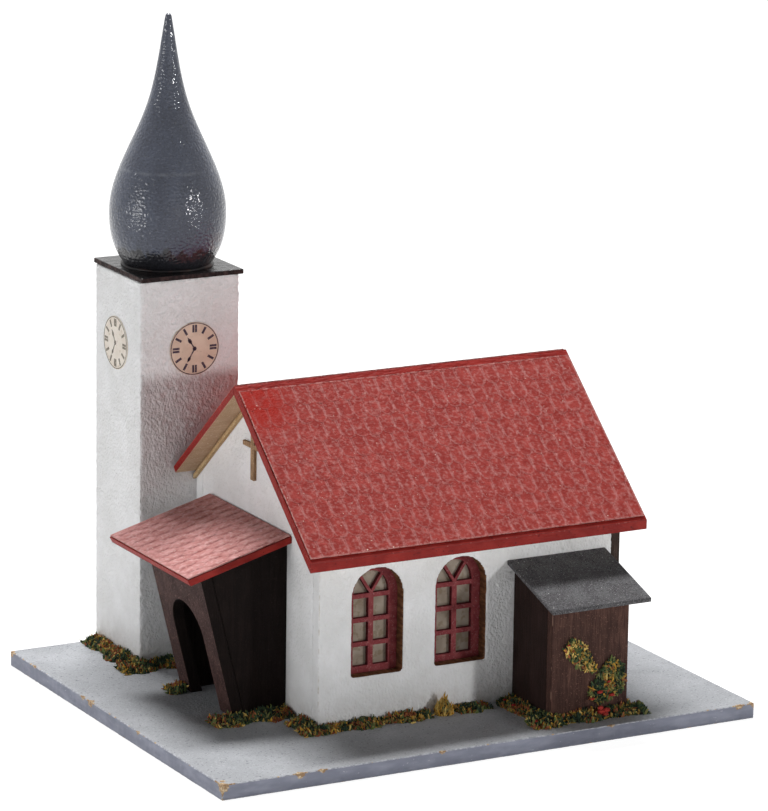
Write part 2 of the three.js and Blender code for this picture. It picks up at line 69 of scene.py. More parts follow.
# Lamps
# A broad lamp above and behind the church, a soft one on its left, a small crisp one at its front right, and
# a very weak broad one in front that lightens the shadows on the walls.
light_centre = Vector((0, 0, 0.06))
for lamp_name, direction, distance, width, depth, watts in (
    ("lamp_top", (0.06, 0.42, 1.0), 1.6, 0.74, 0.34, 35.5),
    ("lamp_left", (-1.0, 0.0, 0.05), 1.6, 0.60, 0.60, 8.3),
    ("lamp_right", (0.5, -0.866, 0.15), 2.2, 0.22, 0.22, 14),
    ("lamp_front", (-0.2, -1.0, 0.1), 1.6, 1.0, 1.0, 1.6),
):
    lamp_data = bpy.data.lights.new(lamp_name, "AREA")
    lamp_data.shape = "ELLIPSE"
    lamp_data.size = width
    lamp_data.size_y = depth
    lamp_data.energy = watts
    lamp = bpy.data.objects.new(lamp_name, lamp_data)
    scene.collection.objects.link(lamp)
    toward = Vector(direction).normalized()
    lamp.location = light_centre + toward * distance
    lamp.rotation_euler = toward.to_track_quat("Z", "Y").to_euler()

# World
# An even pale room that fills the shadows a little, and looks white behind the church and in its gloss.


def wire(tree, kind, sockets, **settings):
    """Adds one node with its settings, and gives each named socket a value or a link."""
    made = tree.nodes.new(kind)
    for key, value in settings.items():
        setattr(made, key, value)
    for key, value in sockets.items():
        if isinstance(value, bpy.types.NodeSocket):
            tree.links.new(value, made.inputs[key])
        else:
            made.inputs[key].default_value = value
    return made


def calc(tree, operation, first, second):
    """Two masks taken together, or a mask with a number."""
    return wire(tree, "ShaderNodeMath", {0: first, 1: second}, operation=operation).outputs[0]


def seen_directly(tree):
    """One where the camera looks straight, or through gloss or glass, and nought for light that fills."""
    path = tree.nodes.new("ShaderNodeLightPath").outputs
    glossy = calc(tree, "MAXIMUM", path["Is Camera Ray"], path["Is Glossy Ray"])
    return calc(tree, "MAXIMUM", glossy, path["Is Transmission Ray"])


fill_light = 0.015
world = bpy.data.worlds.new("studio")
scene.world = world
world.use_nodes = True
world_tree = world.node_tree
room_light = wire(world_tree, "ShaderNodeMapRange",
                  {"Value": seen_directly(world_tree), "To Min": fill_light, "To Max": 1.0})
world_tree.nodes["Background"].inputs["Color"].default_value = (1, 1, 1, 1)
world_tree.links.new(room_light.outputs["Result"], world_tree.nodes["Background"].inputs["Strength"])

# Floor
# A sheet of white paper, bright to the camera, that keeps a faint shadow of the church.
floor_size = 6
floor_glow = 0.95
floor_shade = 0.25
bpy.ops.object.select_all(action="DESELECT")
bpy.ops.mesh.primitive_plane_add(size=floor_size, location=(0, 0, 0))
floor = bpy.context.active_object
floor.name = "floor"
floor_paper = bpy.data.materials.new("floor_paper")
floor_paper.use_nodes = True
floor_tree = floor_paper.node_tree
floor_tree.nodes["Principled BSDF"].inputs["Base Color"].default_value = (0.93, 0.93, 0.93, 1)
floor_tree.nodes["Principled BSDF"].inputs["Roughness"].default_value = 0.9
shade = wire(floor_tree, "ShaderNodeBsdfDiffuse", {"Color": (floor_shade, floor_shade, floor_shade, 1)})
glow = wire(floor_tree, "ShaderNodeEmission", {"Color": (1, 1, 1, 1), "Strength": floor_glow})
lit_paper = wire(floor_tree, "ShaderNodeAddShader", {0: shade.outputs[0], 1: glow.outputs[0]})
paper_mix = wire(floor_tree, "ShaderNodeMixShader",
                 {0: seen_directly(floor_tree), 1: floor_tree.nodes["Principled BSDF"].outputs[0],
                  2: lit_paper.outputs[0]})
floor_tree.links.new(paper_mix.outputs[0], floor_tree.nodes["Material Output"].inputs["Surface"])
floor.data.materials.append(floor_paper)

# Base board
# A thin sawn board, painted pale grey with darker specks on top and plain blue-grey round its edges.
# The paint is rubbed through to tan wood here and there along the rim, most at the corners.
mm = 0.001


def rgb(red, green, blue):
    """A paint colour given in steps of 0 to 255, as the shader wants it."""
    steps = (red / 255, green / 255, blue / 255)
    return (*(((s + 0.055) / 1.055) ** 2.4 if s > 0.04 else s / 12.92 for s in steps), 1)


def new_group(name, inputs, outputs):
    """An empty node group with named inputs and outputs, and the nodes that stand for them."""
    tree = bpy.data.node_groups.new(name, "ShaderNodeTree")
    for label, value in inputs.items():
        kind = "NodeSocketVector" if isinstance(value, tuple) else "NodeSocketFloat"
        tree.interface.new_socket(label, in_out="INPUT", socket_type=kind).default_value = value
    for label in outputs:
        tree.interface.new_socket(label, in_out="OUTPUT", socket_type="NodeSocketFloat")
    return tree, tree.nodes.new("NodeGroupInput").outputs, tree.nodes.new("NodeGroupOutput").inputs


def calc_vector(tree, operation, first, second):
    """Two vectors taken together, part by part."""
    return wire(tree, "ShaderNodeVectorMath", {0: first, 1: second}, operation=operation).outputs[0]


def spot_on(tree):
    """Where a point of the surface is on the church, in metres."""
    return wire(tree, "ShaderNodeTexCoord", {}).outputs["Object"]


def distance(tree, spot, point):
    """How far a spot is from a point."""
    return wire(tree, "ShaderNodeVectorMath", {0: spot, 1: point}, operation="DISTANCE").outputs["Value"]


def fade(tree, value, start, end, top=1.0):
    """A mask that grows from nought, where the value is at the start, to its top at the end."""
    return wire(tree, "ShaderNodeMapRange",
                {"Value": value, "From Min": start, "From Max": end, "To Max": top}).outputs["Result"]


# Patches of noise of one size in millimetres, cut off at a threshold
fleck_group, given, result = new_group(
    "flecks",
    {"Size": 1.0, "Threshold": 0.5, "Softness": 0.1, "Detail": 2.0, "Stretch": (1.0, 1.0, 1.0),
     "Shift": (0.0, 0.0, 0.0)},
    ("Mask",))
per_metre = (1000, 1000, 1000)
in_mm = calc_vector(fleck_group, "MULTIPLY", spot_on(fleck_group), per_metre)
stretched = calc_vector(fleck_group, "MULTIPLY", in_mm, given["Stretch"])
shifted = calc_vector(fleck_group, "ADD", stretched, given["Shift"])
per_size = calc(fleck_group, "DIVIDE", 1.0, given["Size"])
cloud = wire(fleck_group, "ShaderNodeTexNoise",
             {"Vector": shifted, "Scale": per_size, "Detail": given["Detail"]}).outputs[0]
upper = calc(fleck_group, "ADD", given["Threshold"], given["Softness"])
fleck_group.links.new(fade(fleck_group, cloud, given["Threshold"], upper), result["Mask"])


def flecks(tree, size, threshold, softness, stretch=(1, 1, 1), shift=(0, 0, 0), detail=2.0):
    """A mask of flecks in a material."""
    return wire(tree, "ShaderNodeGroup",
                {"Size": size, "Threshold": threshold, "Softness": softness, "Detail": detail,
                 "Stretch": stretch, "Shift": shift}, node_tree=fleck_group).outputs["Mask"]


def blend(tree, mask, under, over, strength=1):
    """One colour over another where the mask is one, or only as strongly as is given."""
    if strength != 1:
        mask = calc(tree, "MULTIPLY", mask, strength)
    return wire(tree, "ShaderNodeMix", {0: mask, 6: under, 7: over}, data_type="RGBA").outputs[2]


def new_paint(name, roughness, sheen=0.2):
    """A fresh material, dull unless it is given more sheen: the material, its nodes and its shader."""
    material = bpy.data.materials.new(name)
    material.use_nodes = True
    shader = material.node_tree.nodes["Principled BSDF"]
    shader.inputs["Roughness"].default_value = roughness
    shader.inputs["Specular IOR Level"].default_value = sheen
    return material, material.node_tree, shader


def relief(tree, shader, height, depth):
    """Raises the surface by a mask, as deep as is given in metres."""
    bump = wire(tree, "ShaderNodeBump", {"Height": height, "Distance": depth})
    tree.links.new(bump.outputs[0], shader.inputs["Normal"])


base_low, base_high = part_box("base_board")
# Places along the rim where the paint is rubbed through, and how far the wear reaches in millimetres
base_wear = ((-100, -83.6, 6), (-98, -80, 2.6), (99.5, -83, 3), (94, -83.6, 3), (-72, -83.6, 3.5),
             (-64, -83.6, 2.6), (-100, 15, 4), (-100, 21, 2.4), (-100, -22, 2), (-20, -83.6, 2),
             (44, -83.6, 1.8), (-100, 60, 2), (100, 79, 5), (-100, 79, 4))


def wear_through(tree, colour, reach, break_up):
    """Bare wood in a paint at the worn places of the rim."""
    spot = spot_on(tree)
    worn = None
    for x, y, radius in base_wear:
        away = distance(tree, spot, (x * mm, y * mm, base_high.z))
        near = fade(tree, away, radius * reach * mm, 0.0, top=1.6)
        worn = near if worn is None else calc(tree, "MAXIMUM", worn, near)
    ragged = fade(tree, calc(tree, "ADD", worn, flecks(tree, break_up, 0.2, 0.6)), 0.78, 0.9)
    ragged = calc(tree, "MULTIPLY", ragged, calc(tree, "GREATER_THAN", worn, 0.01))
    bare = blend(tree, flecks(tree, 0.8, 0.45, 0.2), rgb(150, 120, 88), rgb(208, 188, 156))
    return blend(tree, ragged, colour, bare)


speckled_paint, tree, shader = new_paint("base_speckled_paint", 0.75)
colour = blend(tree, flecks(tree, 14, 0.4, 0.25), rgb(166, 168, 172), rgb(178, 180, 184))
colour = blend(tree, flecks(tree, 0.5, 0.5, 0.16), colour, rgb(136, 138, 143), 0.3)
colour = blend(tree, flecks(tree, 0.8, 0.63, 0.05, shift=(7, 3, 0)), colour, rgb(92, 94, 98), 0.6)
colour = blend(tree, flecks(tree, 0.7, 0.62, 0.06, shift=(31, 9, 0)), colour, rgb(208, 209, 213), 0.45)
tree.links.new(wear_through(tree, colour, 0.5, 0.9), shader.inputs["Base Color"])
relief(tree, shader, flecks(tree, 0.7, 0.3, 0.4), 0.14 * mm)

edge_paint, tree, shader = new_paint("base_edge_paint", 0.55)
colour = blend(tree, flecks(tree, 9, 0.42, 0.25, stretch=(1, 1, 3)), rgb(124, 127, 141), rgb(141, 144, 158))
colour = blend(tree, flecks(tree, 1.3, 0.7, 0.04, stretch=(1, 1, 2)), colour, rgb(164, 166, 177))
tree.links.new(wear_through(tree, colour, 0.6, 1.2), shader.inputs["Base Color"])
relief(tree, shader, flecks(tree, 0.8, 0.35, 0.4, stretch=(0.4, 0.4, 1)), 0.05 * mm)

worn_rim, tree, shader = new_paint("base_worn_rim", 0.7)
colour = blend(tree, flecks(tree, 1.1, 0.4, 0.2), rgb(150, 152, 160), rgb(190, 192, 198))
colour = blend(tree, flecks(tree, 3.2, 0.64, 0.03, shift=(4, 0, 0)), colour, rgb(186, 160, 124))
tree.links.new(wear_through(tree, colour, 1.0, 1.2), shader.inputs["Base Color"])
relief(tree, shader, flecks(tree, 0.6, 0.3, 0.4), 0.1 * mm)

base_rag = 0.07 * mm
base_steps = 140
rim_radius = 0.35 * mm
base_middle = (base_low + base_high) / 2
base_size = base_high - base_low
bpy.ops.object.select_all(action="DESELECT")
bpy.ops.mesh.primitive_plane_add(size=1, location=(base_middle.x, base_middle.y, 0))
base = bpy.context.active_object
base.name = "base_board_painted"
base.scale = (base_size.x - 2 * base_rag, base_size.y - 2 * base_rag, 1)
bpy.ops.object.transform_apply(location=True, rotation=True, scale=True)
bpy.ops.object.mode_set(mode="EDIT")
bpy.ops.mesh.select_all(action="SELECT")
bpy.ops.mesh.delete(type="ONLY_FACE")
bpy.ops.mesh.select_all(action="SELECT")
bpy.ops.mesh.subdivide(number_cuts=base_steps)
bpy.ops.transform.vertex_random(offset=base_rag, uniform=1.0, seed=4)
bpy.ops.transform.resize(value=(1, 1, 0))
bpy.ops.mesh.edge_face_add()
bpy.ops.mesh.extrude_region_move(TRANSFORM_OT_translate={"value": (0, 0, base_size.z)})
bpy.ops.mesh.select_all(action="SELECT")
bpy.ops.mesh.normals_make_consistent(inside=False)
bpy.ops.object.mode_set(mode="OBJECT")
for paint in (speckled_paint, edge_paint, worn_rim):
    base.data.materials.append(paint)
for face in base.data.polygons:
    face.material_index = 0 if face.normal.z > 0.5 else 1
rub = base.modifiers.new("rub", "BEVEL")
rub.width = rim_radius
rub.segments = 2
rub.limit_method = "ANGLE"
rub.angle_limit = math.radians(60)
rub.material = 2
bpy.ops.object.modifier_apply(modifier="rub")
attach(base, "root")
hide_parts("base_board")

# Nave walls
# Thin boards painted white: smooth on the left, and daubed with thick rough paint towards the shed and on the
# tower's front. The window openings show the bare brown edge of the board.


def fresh_copy(node, name, *paints):
    """A copy of one board of the frame, with its loose triangles welded into plain faces."""
    piece = bpy.data.objects.new(name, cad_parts[node].data.copy())
    scene.collection.objects.link(piece)
    bpy.ops.object.select_all(action="DESELECT")
    bpy.context.view_layer.objects.active = piece
    piece.select_set(True)
    piece.data.materials.clear()
    for paint in paints:
        piece.data.materials.append(paint)
    bpy.ops.mesh.customdata_custom_splitnormals_clear()
    bpy.ops.object.mode_set(mode="EDIT")
    bpy.ops.mesh.select_all(action="SELECT")
    bpy.ops.mesh.remove_doubles(threshold=0.01 * mm)
    bpy.ops.mesh.dissolve_limited(angle_limit=math.radians(1))
    bpy.ops.object.mode_set(mode="OBJECT")
    bpy.ops.object.shade_flat()
    return piece


def stands_for(piece, node):
    """The finished piece rides with the church in the place of a board of the frame."""
    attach(piece, "root")
    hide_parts(node)


def repaint(piece, slot_index, wanted):
    """Paints the faces that a test picks by middle and normal."""
    for face in piece.data.polygons:
        if wanted(face.center, face.normal):
            face.material_index = slot_index


def daub(piece, lump_size, depth, weight_at):
    """Thickens the paint in lumps, as much as a weight at each point says."""
    lumps = bpy.data.textures.new(piece.name + "_lumps", "CLOUDS")
    lumps.noise_scale = lump_size
    lumps.noise_depth = 2
    thick = piece.vertex_groups.new(name="thick")
    for vertex in piece.data.vertices:
        thick.add([vertex.index], weight_at(vertex.co), "REPLACE")
    displace = piece.modifiers.new("daub", "DISPLACE")
    displace.texture = lumps
    displace.texture_coords = "LOCAL"
    displace.strength = depth
    displace.mid_level = 0.5
    displace.vertex_group = "thick"
    bpy.ops.object.modifier_apply(modifier="daub")


def plaster(node, paints, weight_at, voxel=0.55 * mm, lump_size=1.3 * mm, depth=0.8 * mm,
            bed=(0, 0, 0)):
    """A wall in its coat of paint: even faces all over, lumps of paint, soft edges. Where a bed is given, its
    inner side reaches that far into the boards beside it, so that the paint closes over the joint."""
    wall = fresh_copy(node, node + "_painted", *paints)
    low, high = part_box(node)
    for vertex in wall.data.vertices:
        if (vertex.co - (low + high) / 2).dot(Vector(bed)) > 0:
            vertex.co += Vector(bed)
    skin = wall.modifiers.new("skin", "REMESH")
    skin.mode = "VOXEL"
    skin.voxel_size = voxel
    bpy.ops.object.modifier_apply(modifier="skin")
    daub(wall, lump_size, depth, weight_at)
    bpy.ops.object.shade_smooth_by_angle(angle=math.radians(40))
    stands_for(wall, node)
    return wall


def white_paint(name, foot_greying, roughness, streaks, corner=None):
    """Matt white brush paint with faint greyer strokes, greyer in patches towards the foot of the wall. Along
    the upright line of a corner it has rubbed off in dots."""
    material, tree, shader = new_paint(name, roughness)
    colour = blend(tree, flecks(tree, 12, 0.38, 0.3), rgb(232, 232, 232), rgb(242, 242, 243))
    colour = blend(tree, flecks(tree, 2.2, 0.5, 0.25, stretch=streaks), colour, rgb(222, 220, 218), 0.25)
    colour = blend(tree, flecks(tree, 0.5, 0.7, 0.04), colour, rgb(168, 158, 148), 0.35)
    spot = spot_on(tree)
    height = wire(tree, "ShaderNodeSeparateXYZ", {0: spot}).outputs["Z"]
    # Greyer in patches towards the foot of the wall, below 17 mm
    dusty = calc(tree, "MULTIPLY", fade(tree, height, 17 * mm, 5 * mm), flecks(tree, 2.5, 0.35, 0.3))
    colour = blend(tree, dusty, colour, rgb(168, 162, 154), foot_greying)
    if corner:
        level = calc_vector(tree, "MULTIPLY", spot, (1, 1, 0))
        rubbed = fade(tree, distance(tree, level, corner), 0.6 * mm, 0.2 * mm)
        dots = flecks(tree, 2.6, 0.44, 0.2, shift=(0, 3, 0), detail=5)
        colour = blend(tree, calc(tree, "MULTIPLY", rubbed, dots), colour, rgb(164, 144, 112), 0.7)
    tree.links.new(colour, shader.inputs["Base Color"])
    relief(tree, shader, flecks(tree, 0.9, 0.25, 0.5, stretch=streaks, detail=3), 0.3 * mm)
    return material


nave_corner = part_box("nave_front_wall")[0]
nave_white = white_paint("nave_white_paint", 0.2, 0.8, (1, 1, 0.8), corner=(nave_corner.x, nave_corner.y, 0))
bare_reveal, tree, shader = new_paint("bare_opening_edge", 0.75)
colour = blend(tree, flecks(tree, 1.2, 0.4, 0.25, stretch=(1, 0.3, 1)), rgb(92, 60, 40), rgb(132, 92, 62))
tree.links.new(colour, shader.inputs["Base Color"])
rough_from = 12 * mm
opening_rim = 0.4 * mm
for node, roughest in (("nave_front_wall", 1), ("nave_back_wall", 0.35)):
    wall = plaster(node, (nave_white, bare_reveal),
                   lambda point: min(roughest, max(0.3, (point.x - rough_from) / (6 * mm))))
    low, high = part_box(node)
    for frame_node in (node.replace("nave", "window_frame").replace("wall", "1"),
                       node.replace("nave", "window_frame").replace("wall", "2")):
        pane_low, pane_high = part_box(frame_node)
        repaint(wall, 1, lambda middle, normal: abs(normal.y) < 0.7
                and pane_low.x < middle.x < pane_high.x and pane_low.z < middle.z < pane_high.z
                and low.y + opening_rim < middle.y < high.y - opening_rim)
plaster("nave_west_gable", (nave_white,), lambda point: 0.15)

# East gable
# A thin board stained dark grey-brown, glued over the ends of the long walls; its edge shows under the roof.


def trimmed_board(node, name, radius, slot, *paints):
    """A flat board with its edges rubbed down a little. A second paint goes on the rubbed edge."""
    piece = fresh_copy(node, name, *paints)
    rub = piece.modifiers.new("rub", "BEVEL")
    rub.width = radius
    rub.segments = 2
    rub.limit_method = "ANGLE"
    rub.angle_limit = math.radians(35)
    rub.material = 1 if len(paints) > 1 else 0
    bpy.ops.object.modifier_apply(modifier="rub")
    stands_for(piece, node)
    return piece


# Wood figure: long fine fibres, and broad growth bands that wander along the board
grain_group, given, result = new_group(
    "wood_grain", {"Fibre": (6.0, 6.0, 0.12), "Band": (0.5, 0.5, 0.03), "Shift": (0.0, 0.0, 0.0)},
    ("Fibres", "Bands"))
in_mm = calc_vector(grain_group, "MULTIPLY", spot_on(grain_group), per_metre)
moved = calc_vector(grain_group, "ADD", in_mm, given["Shift"])
along = calc_vector(grain_group, "MULTIPLY", moved, given["Fibre"])
fibres = wire(grain_group, "ShaderNodeTexNoise", {"Vector": along, "Scale": 1.0, "Detail": 3.0}).outputs[0]
across = calc_vector(grain_group, "MULTIPLY", moved, given["Band"])
bands = wire(grain_group, "ShaderNodeTexNoise", {"Vector": across, "Scale": 1.0, "Detail": 1.0}).outputs[0]
rings = calc(grain_group, "MULTIPLY", bands, 9.0)
grain_group.links.new(fade(grain_group, fibres, 0.38, 0.64), result["Fibres"])
grain_group.links.new(calc(grain_group, "PINGPONG", rings, 1.0), result["Bands"])


def stained_wood(name, dark, light, fibre, band, roughness=0.6, shift=(0, 0, 0), depth=0.1 * mm,
                 gritty=0.4):
    """Wood under a thin stain: darker fibres, lighter growth bands, a little relief along the grain."""
    material, tree, shader = new_paint(name, roughness, 0.06)
    figure = wire(tree, "ShaderNodeGroup", {"Fibre": fibre, "Band": band, "Shift": shift},
                  node_tree=grain_group).outputs
    middle = tuple((a + b) / 2 for a, b in zip(dark, light))
    colour = blend(tree, figure["Bands"], middle, light)
    colour = blend(tree, figure["Fibres"], colour, dark, 0.75)
    colour = blend(tree, flecks(tree, 7, 0.4, 0.2, shift=shift), colour, dark, 0.5)
    bright = tuple(min(1, c * 2.2) for c in light)
    colour = blend(tree, flecks(tree, 0.5, 0.62, 0.06, shift=shift), colour, bright, gritty)
    tree.links.new(colour, shader.inputs["Base Color"])
    relief(tree, shader, figure["Fibres"], -depth)
    return material


upright_fibre = (5, 5, 0.12)
upright_band = (0.35, 0.35, 0.02)
gable_stain = stained_wood("gable_dark_stain", rgb(52, 42, 38), rgb(84, 70, 64), upright_fibre, upright_band)
trimmed_board("nave_east_gable", "nave_east_gable_stained", 0.2 * mm, "stained_board", gable_stain)

# Windows
# Each window is a pierced board painted dusty red, glued behind its opening, over a sheet of stained greyish
# paper that stands for the panes.
window_face_red, tree, shader = new_paint("window_face_red", 0.7)
colour = blend(tree, flecks(tree, 2.5, 0.4, 0.25), rgb(124, 50, 54), rgb(140, 66, 68))
colour = blend(tree, flecks(tree, 0.5, 0.6, 0.1), colour, rgb(166, 116, 116), 0.6)
tree.links.new(colour, shader.inputs["Base Color"])
relief(tree, shader, flecks(tree, 0.5, 0.3, 0.4), 0.1 * mm)
# The frame's cut faces are a darker red: partly the card's darker cut edge, partly painted shade of the
# recess.
window_cut_red_and_painted_shade, tree, shader = new_paint("window_cut_red_and_painted_shade", 0.75)
tree.links.new(blend(tree, flecks(tree, 0.7, 0.45, 0.2), rgb(86, 26, 32), rgb(120, 44, 50)),
               shader.inputs["Base Color"])
pane_paper, tree, shader = new_paint("pane_paper", 0.85)
colour = blend(tree, flecks(tree, 5, 0.4, 0.25), rgb(142, 128, 114), rgb(164, 152, 138))
colour = blend(tree, flecks(tree, 2.2, 0.56, 0.1, shift=(5, 0, 2)), colour, rgb(122, 104, 80), 0.55)
tree.links.new(colour, shader.inputs["Base Color"])
for side in ("front", "back"):
    for number in (1, 2):
        frame_node = f"window_frame_{side}_{number}"
        sash = trimmed_board(frame_node, frame_node + "_painted", 0.12 * mm, "window_red",
                             window_face_red, window_face_red, window_cut_red_and_painted_shade)
        # The cut faces of the frame take the darker red, partly painted shade in the recess.
        repaint(sash, 2, lambda middle, normal: abs(normal.y) < 0.3)
        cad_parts[f"window_backing_{side}_{number}"].material_slots[0].material = pane_paper

# Roof boards
# Two sawn boards that meet at the ridge, their edges brushed dark red, raw wood showing underneath.
roof_edge_red, tree, shader = new_paint("roof_edge_red", 0.5, 0.15)
colour = blend(tree, flecks(tree, 6, 0.4, 0.25), rgb(132, 28, 23), rgb(150, 40, 33))
colour = blend(tree, flecks(tree, 0.9, 0.66, 0.04, stretch=(0.5, 1, 1)), colour, rgb(96, 20, 20))
tree.links.new(colour, shader.inputs["Base Color"])
relief(tree, shader, flecks(tree, 0.8, 0.3, 0.4, stretch=(0.3, 1, 1)), 0.16 * mm)
roof_rubbed, tree, shader = new_paint("roof_rubbed_rim", 0.6)
colour = blend(tree, flecks(tree, 1.1, 0.6, 0.06), rgb(126, 34, 30), rgb(150, 74, 68))
tree.links.new(colour, shader.inputs["Base Color"])
raw_underside = stained_wood("raw_underside", rgb(180, 150, 120), rgb(208, 183, 153), (0.1, 5, 5),
                             (0.02, 0.3, 0.3), roughness=0.8)
for node in ("roof_board_front", "roof_board_back"):
    roof_board = trimmed_board(node, node + "_painted", 0.25 * mm, "red_board", roof_edge_red, roof_rubbed,
                               raw_underside)
    repaint(roof_board, 2, lambda middle, normal: normal.z < -0.5)

# Tile sheets
# Card softly embossed with rows of round-ended tiles and brushed dusty red. The joints between the tiles and
# the sheet's own edges are worn pale. One tile is modelled, then laid in staggered rows and cut to the sheet.
tile_width = 5.12 * mm
tile_course = 7.65 * mm
tile_body = 0.3 * mm
tile_rise = 0.08 * mm
front_shape = (tile_rise, 0.36 * mm, 0.03 * mm)
tile_corners = 16
card_under = 0.24 * mm


def model_tile(rise, rim, swell):
    """One round-ended tile, its lower end at the origin, y up the slope, tail tucked under. Its middle swells
    up inside the rim."""
    radius = tile_width / 2
    bpy.ops.object.select_all(action="DESELECT")
    bpy.ops.mesh.primitive_circle_add(vertices=tile_corners, radius=radius, fill_type="NGON",
                                      location=(0, radius, 0))
    tile = bpy.context.active_object
    tile.name = "roof_tile"
    bpy.ops.object.transform_apply(location=True)
    for vertex in tile.data.vertices:
        if vertex.co.y > radius * 1.01:
            vertex.co.y = radius + tile_course * (0.72 + 0.28 * (vertex.co.y - radius) / radius)
    bpy.ops.object.mode_set(mode="EDIT")
    bpy.ops.mesh.select_all(action="SELECT")
    bpy.ops.mesh.extrude_region_move(TRANSFORM_OT_translate={"value": (0, 0, tile_body)})
    bpy.ops.mesh.select_all(action="SELECT")
    bpy.ops.mesh.normals_make_consistent(inside=False)
    bpy.ops.mesh.select_all(action="DESELECT")
    bpy.ops.mesh.select_mode(type="FACE")
    bpy.ops.object.mode_set(mode="OBJECT")
    for face in tile.data.polygons:
        face.select = face.normal.z > 0.9
    bpy.ops.object.mode_set(mode="EDIT")
    bpy.ops.mesh.inset(thickness=rim, depth=swell / 2)
    bpy.ops.mesh.inset(thickness=rim, depth=swell / 2)
    bpy.ops.mesh.select_mode(type="VERT")
    bpy.ops.object.mode_set(mode="OBJECT")
    rims = tile.data.attributes.new("rim", "FLOAT", "POINT").data
    for vertex in tile.data.vertices:
        from_edge = radius - math.hypot(vertex.co.x, min(0, vertex.co.y - radius))
        side = min(1, vertex.co.y / radius)
        rims[vertex.index].value = (0.3 + 0.7 * side) * max(0, 1 - from_edge / (2 * rim))
    for vertex in tile.data.vertices:
        if vertex.co.z > tile_body / 2:
            vertex.co.z += rise * (1 - vertex.co.y / tile_course)
    return tile


def lay_tiles(node, name, foot, pitch, turn, length, first_edge, shape, paint):
    """A sheet of tiles as wide as its node: foot is the middle of its lower edge, on the board."""
    low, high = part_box(node)
    width = (high.x - low.x) if abs(math.sin(turn)) < 0.5 else (high.y - low.y)
    columns = int(width / tile_width) + 3
    rows = int(length / (2 * tile_course)) + 2
    tile = model_tile(*shape)
    second = tile.copy()
    second.data = tile.data.copy()
    scene.collection.objects.link(second)
    second.location = (tile_width / 2, tile_course, 0)
    second.select_set(True)
    bpy.ops.object.transform_apply(location=True)
    bpy.ops.object.join()
    for label, count, step in (("columns", columns, (tile_width, 0, 0)),
                               ("rows", rows, (0, 2 * tile_course, 0))):
        repeat = tile.modifiers.new(label, "ARRAY")
        repeat.count = count
        repeat.use_relative_offset = False
        repeat.use_constant_offset = True
        repeat.constant_offset_displace = step
        bpy.ops.object.modifier_apply(modifier=label)
    tile.location = (-columns * tile_width / 2, first_edge - 2 * tile_course, 0)
    bpy.ops.object.transform_apply(location=True)
    bpy.ops.object.mode_set(mode="EDIT")
    for edge, outward in (((width / 2, 0, 0), (1, 0, 0)), ((-width / 2, 0, 0), (-1, 0, 0)),
                          ((0, length, 0), (0, 1, 0)), ((0, 0, 0), (0, -1, 0))):
        bpy.ops.mesh.select_all(action="SELECT")
        bpy.ops.mesh.bisect(plane_co=edge, plane_no=outward, clear_outer=True, use_fill=True)
    bpy.ops.mesh.select_all(action="SELECT")
    bpy.ops.mesh.normals_make_consistent(inside=False)
    bpy.ops.object.mode_set(mode="OBJECT")
    bpy.ops.object.select_all(action="DESELECT")
    bpy.ops.mesh.primitive_cube_add(size=1, location=(0, length / 2, card_under / 2),
                                    scale=(width, length, card_under))
    card = bpy.context.active_object
    bpy.ops.object.transform_apply(location=True, scale=True)
    card.data.attributes.new("rim", "FLOAT", "POINT")
    tile.select_set(True)
    bpy.context.view_layer.objects.active = tile
    bpy.ops.object.join()
    tile.name = name
    tile.matrix_world = (Matrix.Translation(foot) @ Matrix.Rotation(turn, 4, "Z")
                         @ Matrix.Rotation(pitch, 4, "X"))
    bpy.ops.object.transform_apply(location=True, rotation=True, scale=True)
    bpy.ops.object.shade_flat()
    tile.data.materials.clear()
    tile.data.materials.append(paint)
    stands_for(tile, node)
    return tile


def tile_paint(name, body_dark, body_light, worn, joint_wear_and_shade, joints, groove, patch, patch_at, patch_reach,
               edges):
    """Dusty brushed red with a few white specks, another colour in the joints, pale where the sheet's edges
    are worn, and fresher in one patch. A joint colour paler than the tiles is wear; a darker one is painted
    shade in the valleys between the tiles. Each edge is given as an axis, where it lies along it, and how far
    in it is worn."""
    material, tree, shader = new_paint(name, 0.6, 0.12)
    colour = blend(tree, flecks(tree, 3.2, 0.38, 0.26), body_dark, body_light)
    colour = blend(tree, flecks(tree, 11, 0.46, 0.14, shift=(4, 4, 9)), colour, body_dark, 0.35)
    spot = spot_on(tree)
    near = fade(tree, distance(tree, spot, patch_at), patch_reach, patch_reach * 0.45)
    fresh = calc(tree, "MULTIPLY", near, flecks(tree, 4, 0.16, 0.3))
    colour = blend(tree, fresh, colour, patch)
    dust = calc(tree, "MULTIPLY", flecks(tree, 1.2, 0.48, 0.24, shift=(3, 8, 1), detail=4), 0.34)
    colour = blend(tree, calc(tree, "MULTIPLY", dust, calc(tree, "SUBTRACT", 1.2, fresh)), colour, worn)
    rim = wire(tree, "ShaderNodeAttribute", {}, attribute_name="rim").outputs["Fac"]
    joint = calc(tree, "MULTIPLY", rim, flecks(tree, 1.1, 0.34, 0.2, shift=(9, 2, 4), detail=3))
    old_paint = calc(tree, "SUBTRACT", 1.0, calc(tree, "MULTIPLY", fresh, 0.6))
    joint = calc(tree, "MULTIPLY", calc(tree, "MULTIPLY", joint, joints), old_paint)
    # The joint colour: pale wear on the main roof, painted shade in the valleys on the porch.
    colour = blend(tree, joint, colour, joint_wear_and_shade)
    places = wire(tree, "ShaderNodeSeparateXYZ", {0: spot}).outputs
    for axis, edge, reach in edges:
        gone = fade(tree, places[axis], edge + reach, edge)
        gone = calc(tree, "MULTIPLY", gone, flecks(tree, 0.9, 0.36, 0.14, shift=(5, 5, 5)))
        colour = blend(tree, gone, colour, rgb(206, 158, 152), 0.8)
    colour = blend(tree, flecks(tree, 0.9, 0.74, 0.02, shift=(1, 40, 7)), colour, rgb(232, 214, 200))
    tree.links.new(colour, shader.inputs["Base Color"])
    valley = calc(tree, "MULTIPLY", rim, groove)
    relief(tree, shader, calc(tree, "SUBTRACT", flecks(tree, 0.6, 0.3, 0.4), valley), 0.12 * mm)
    return material


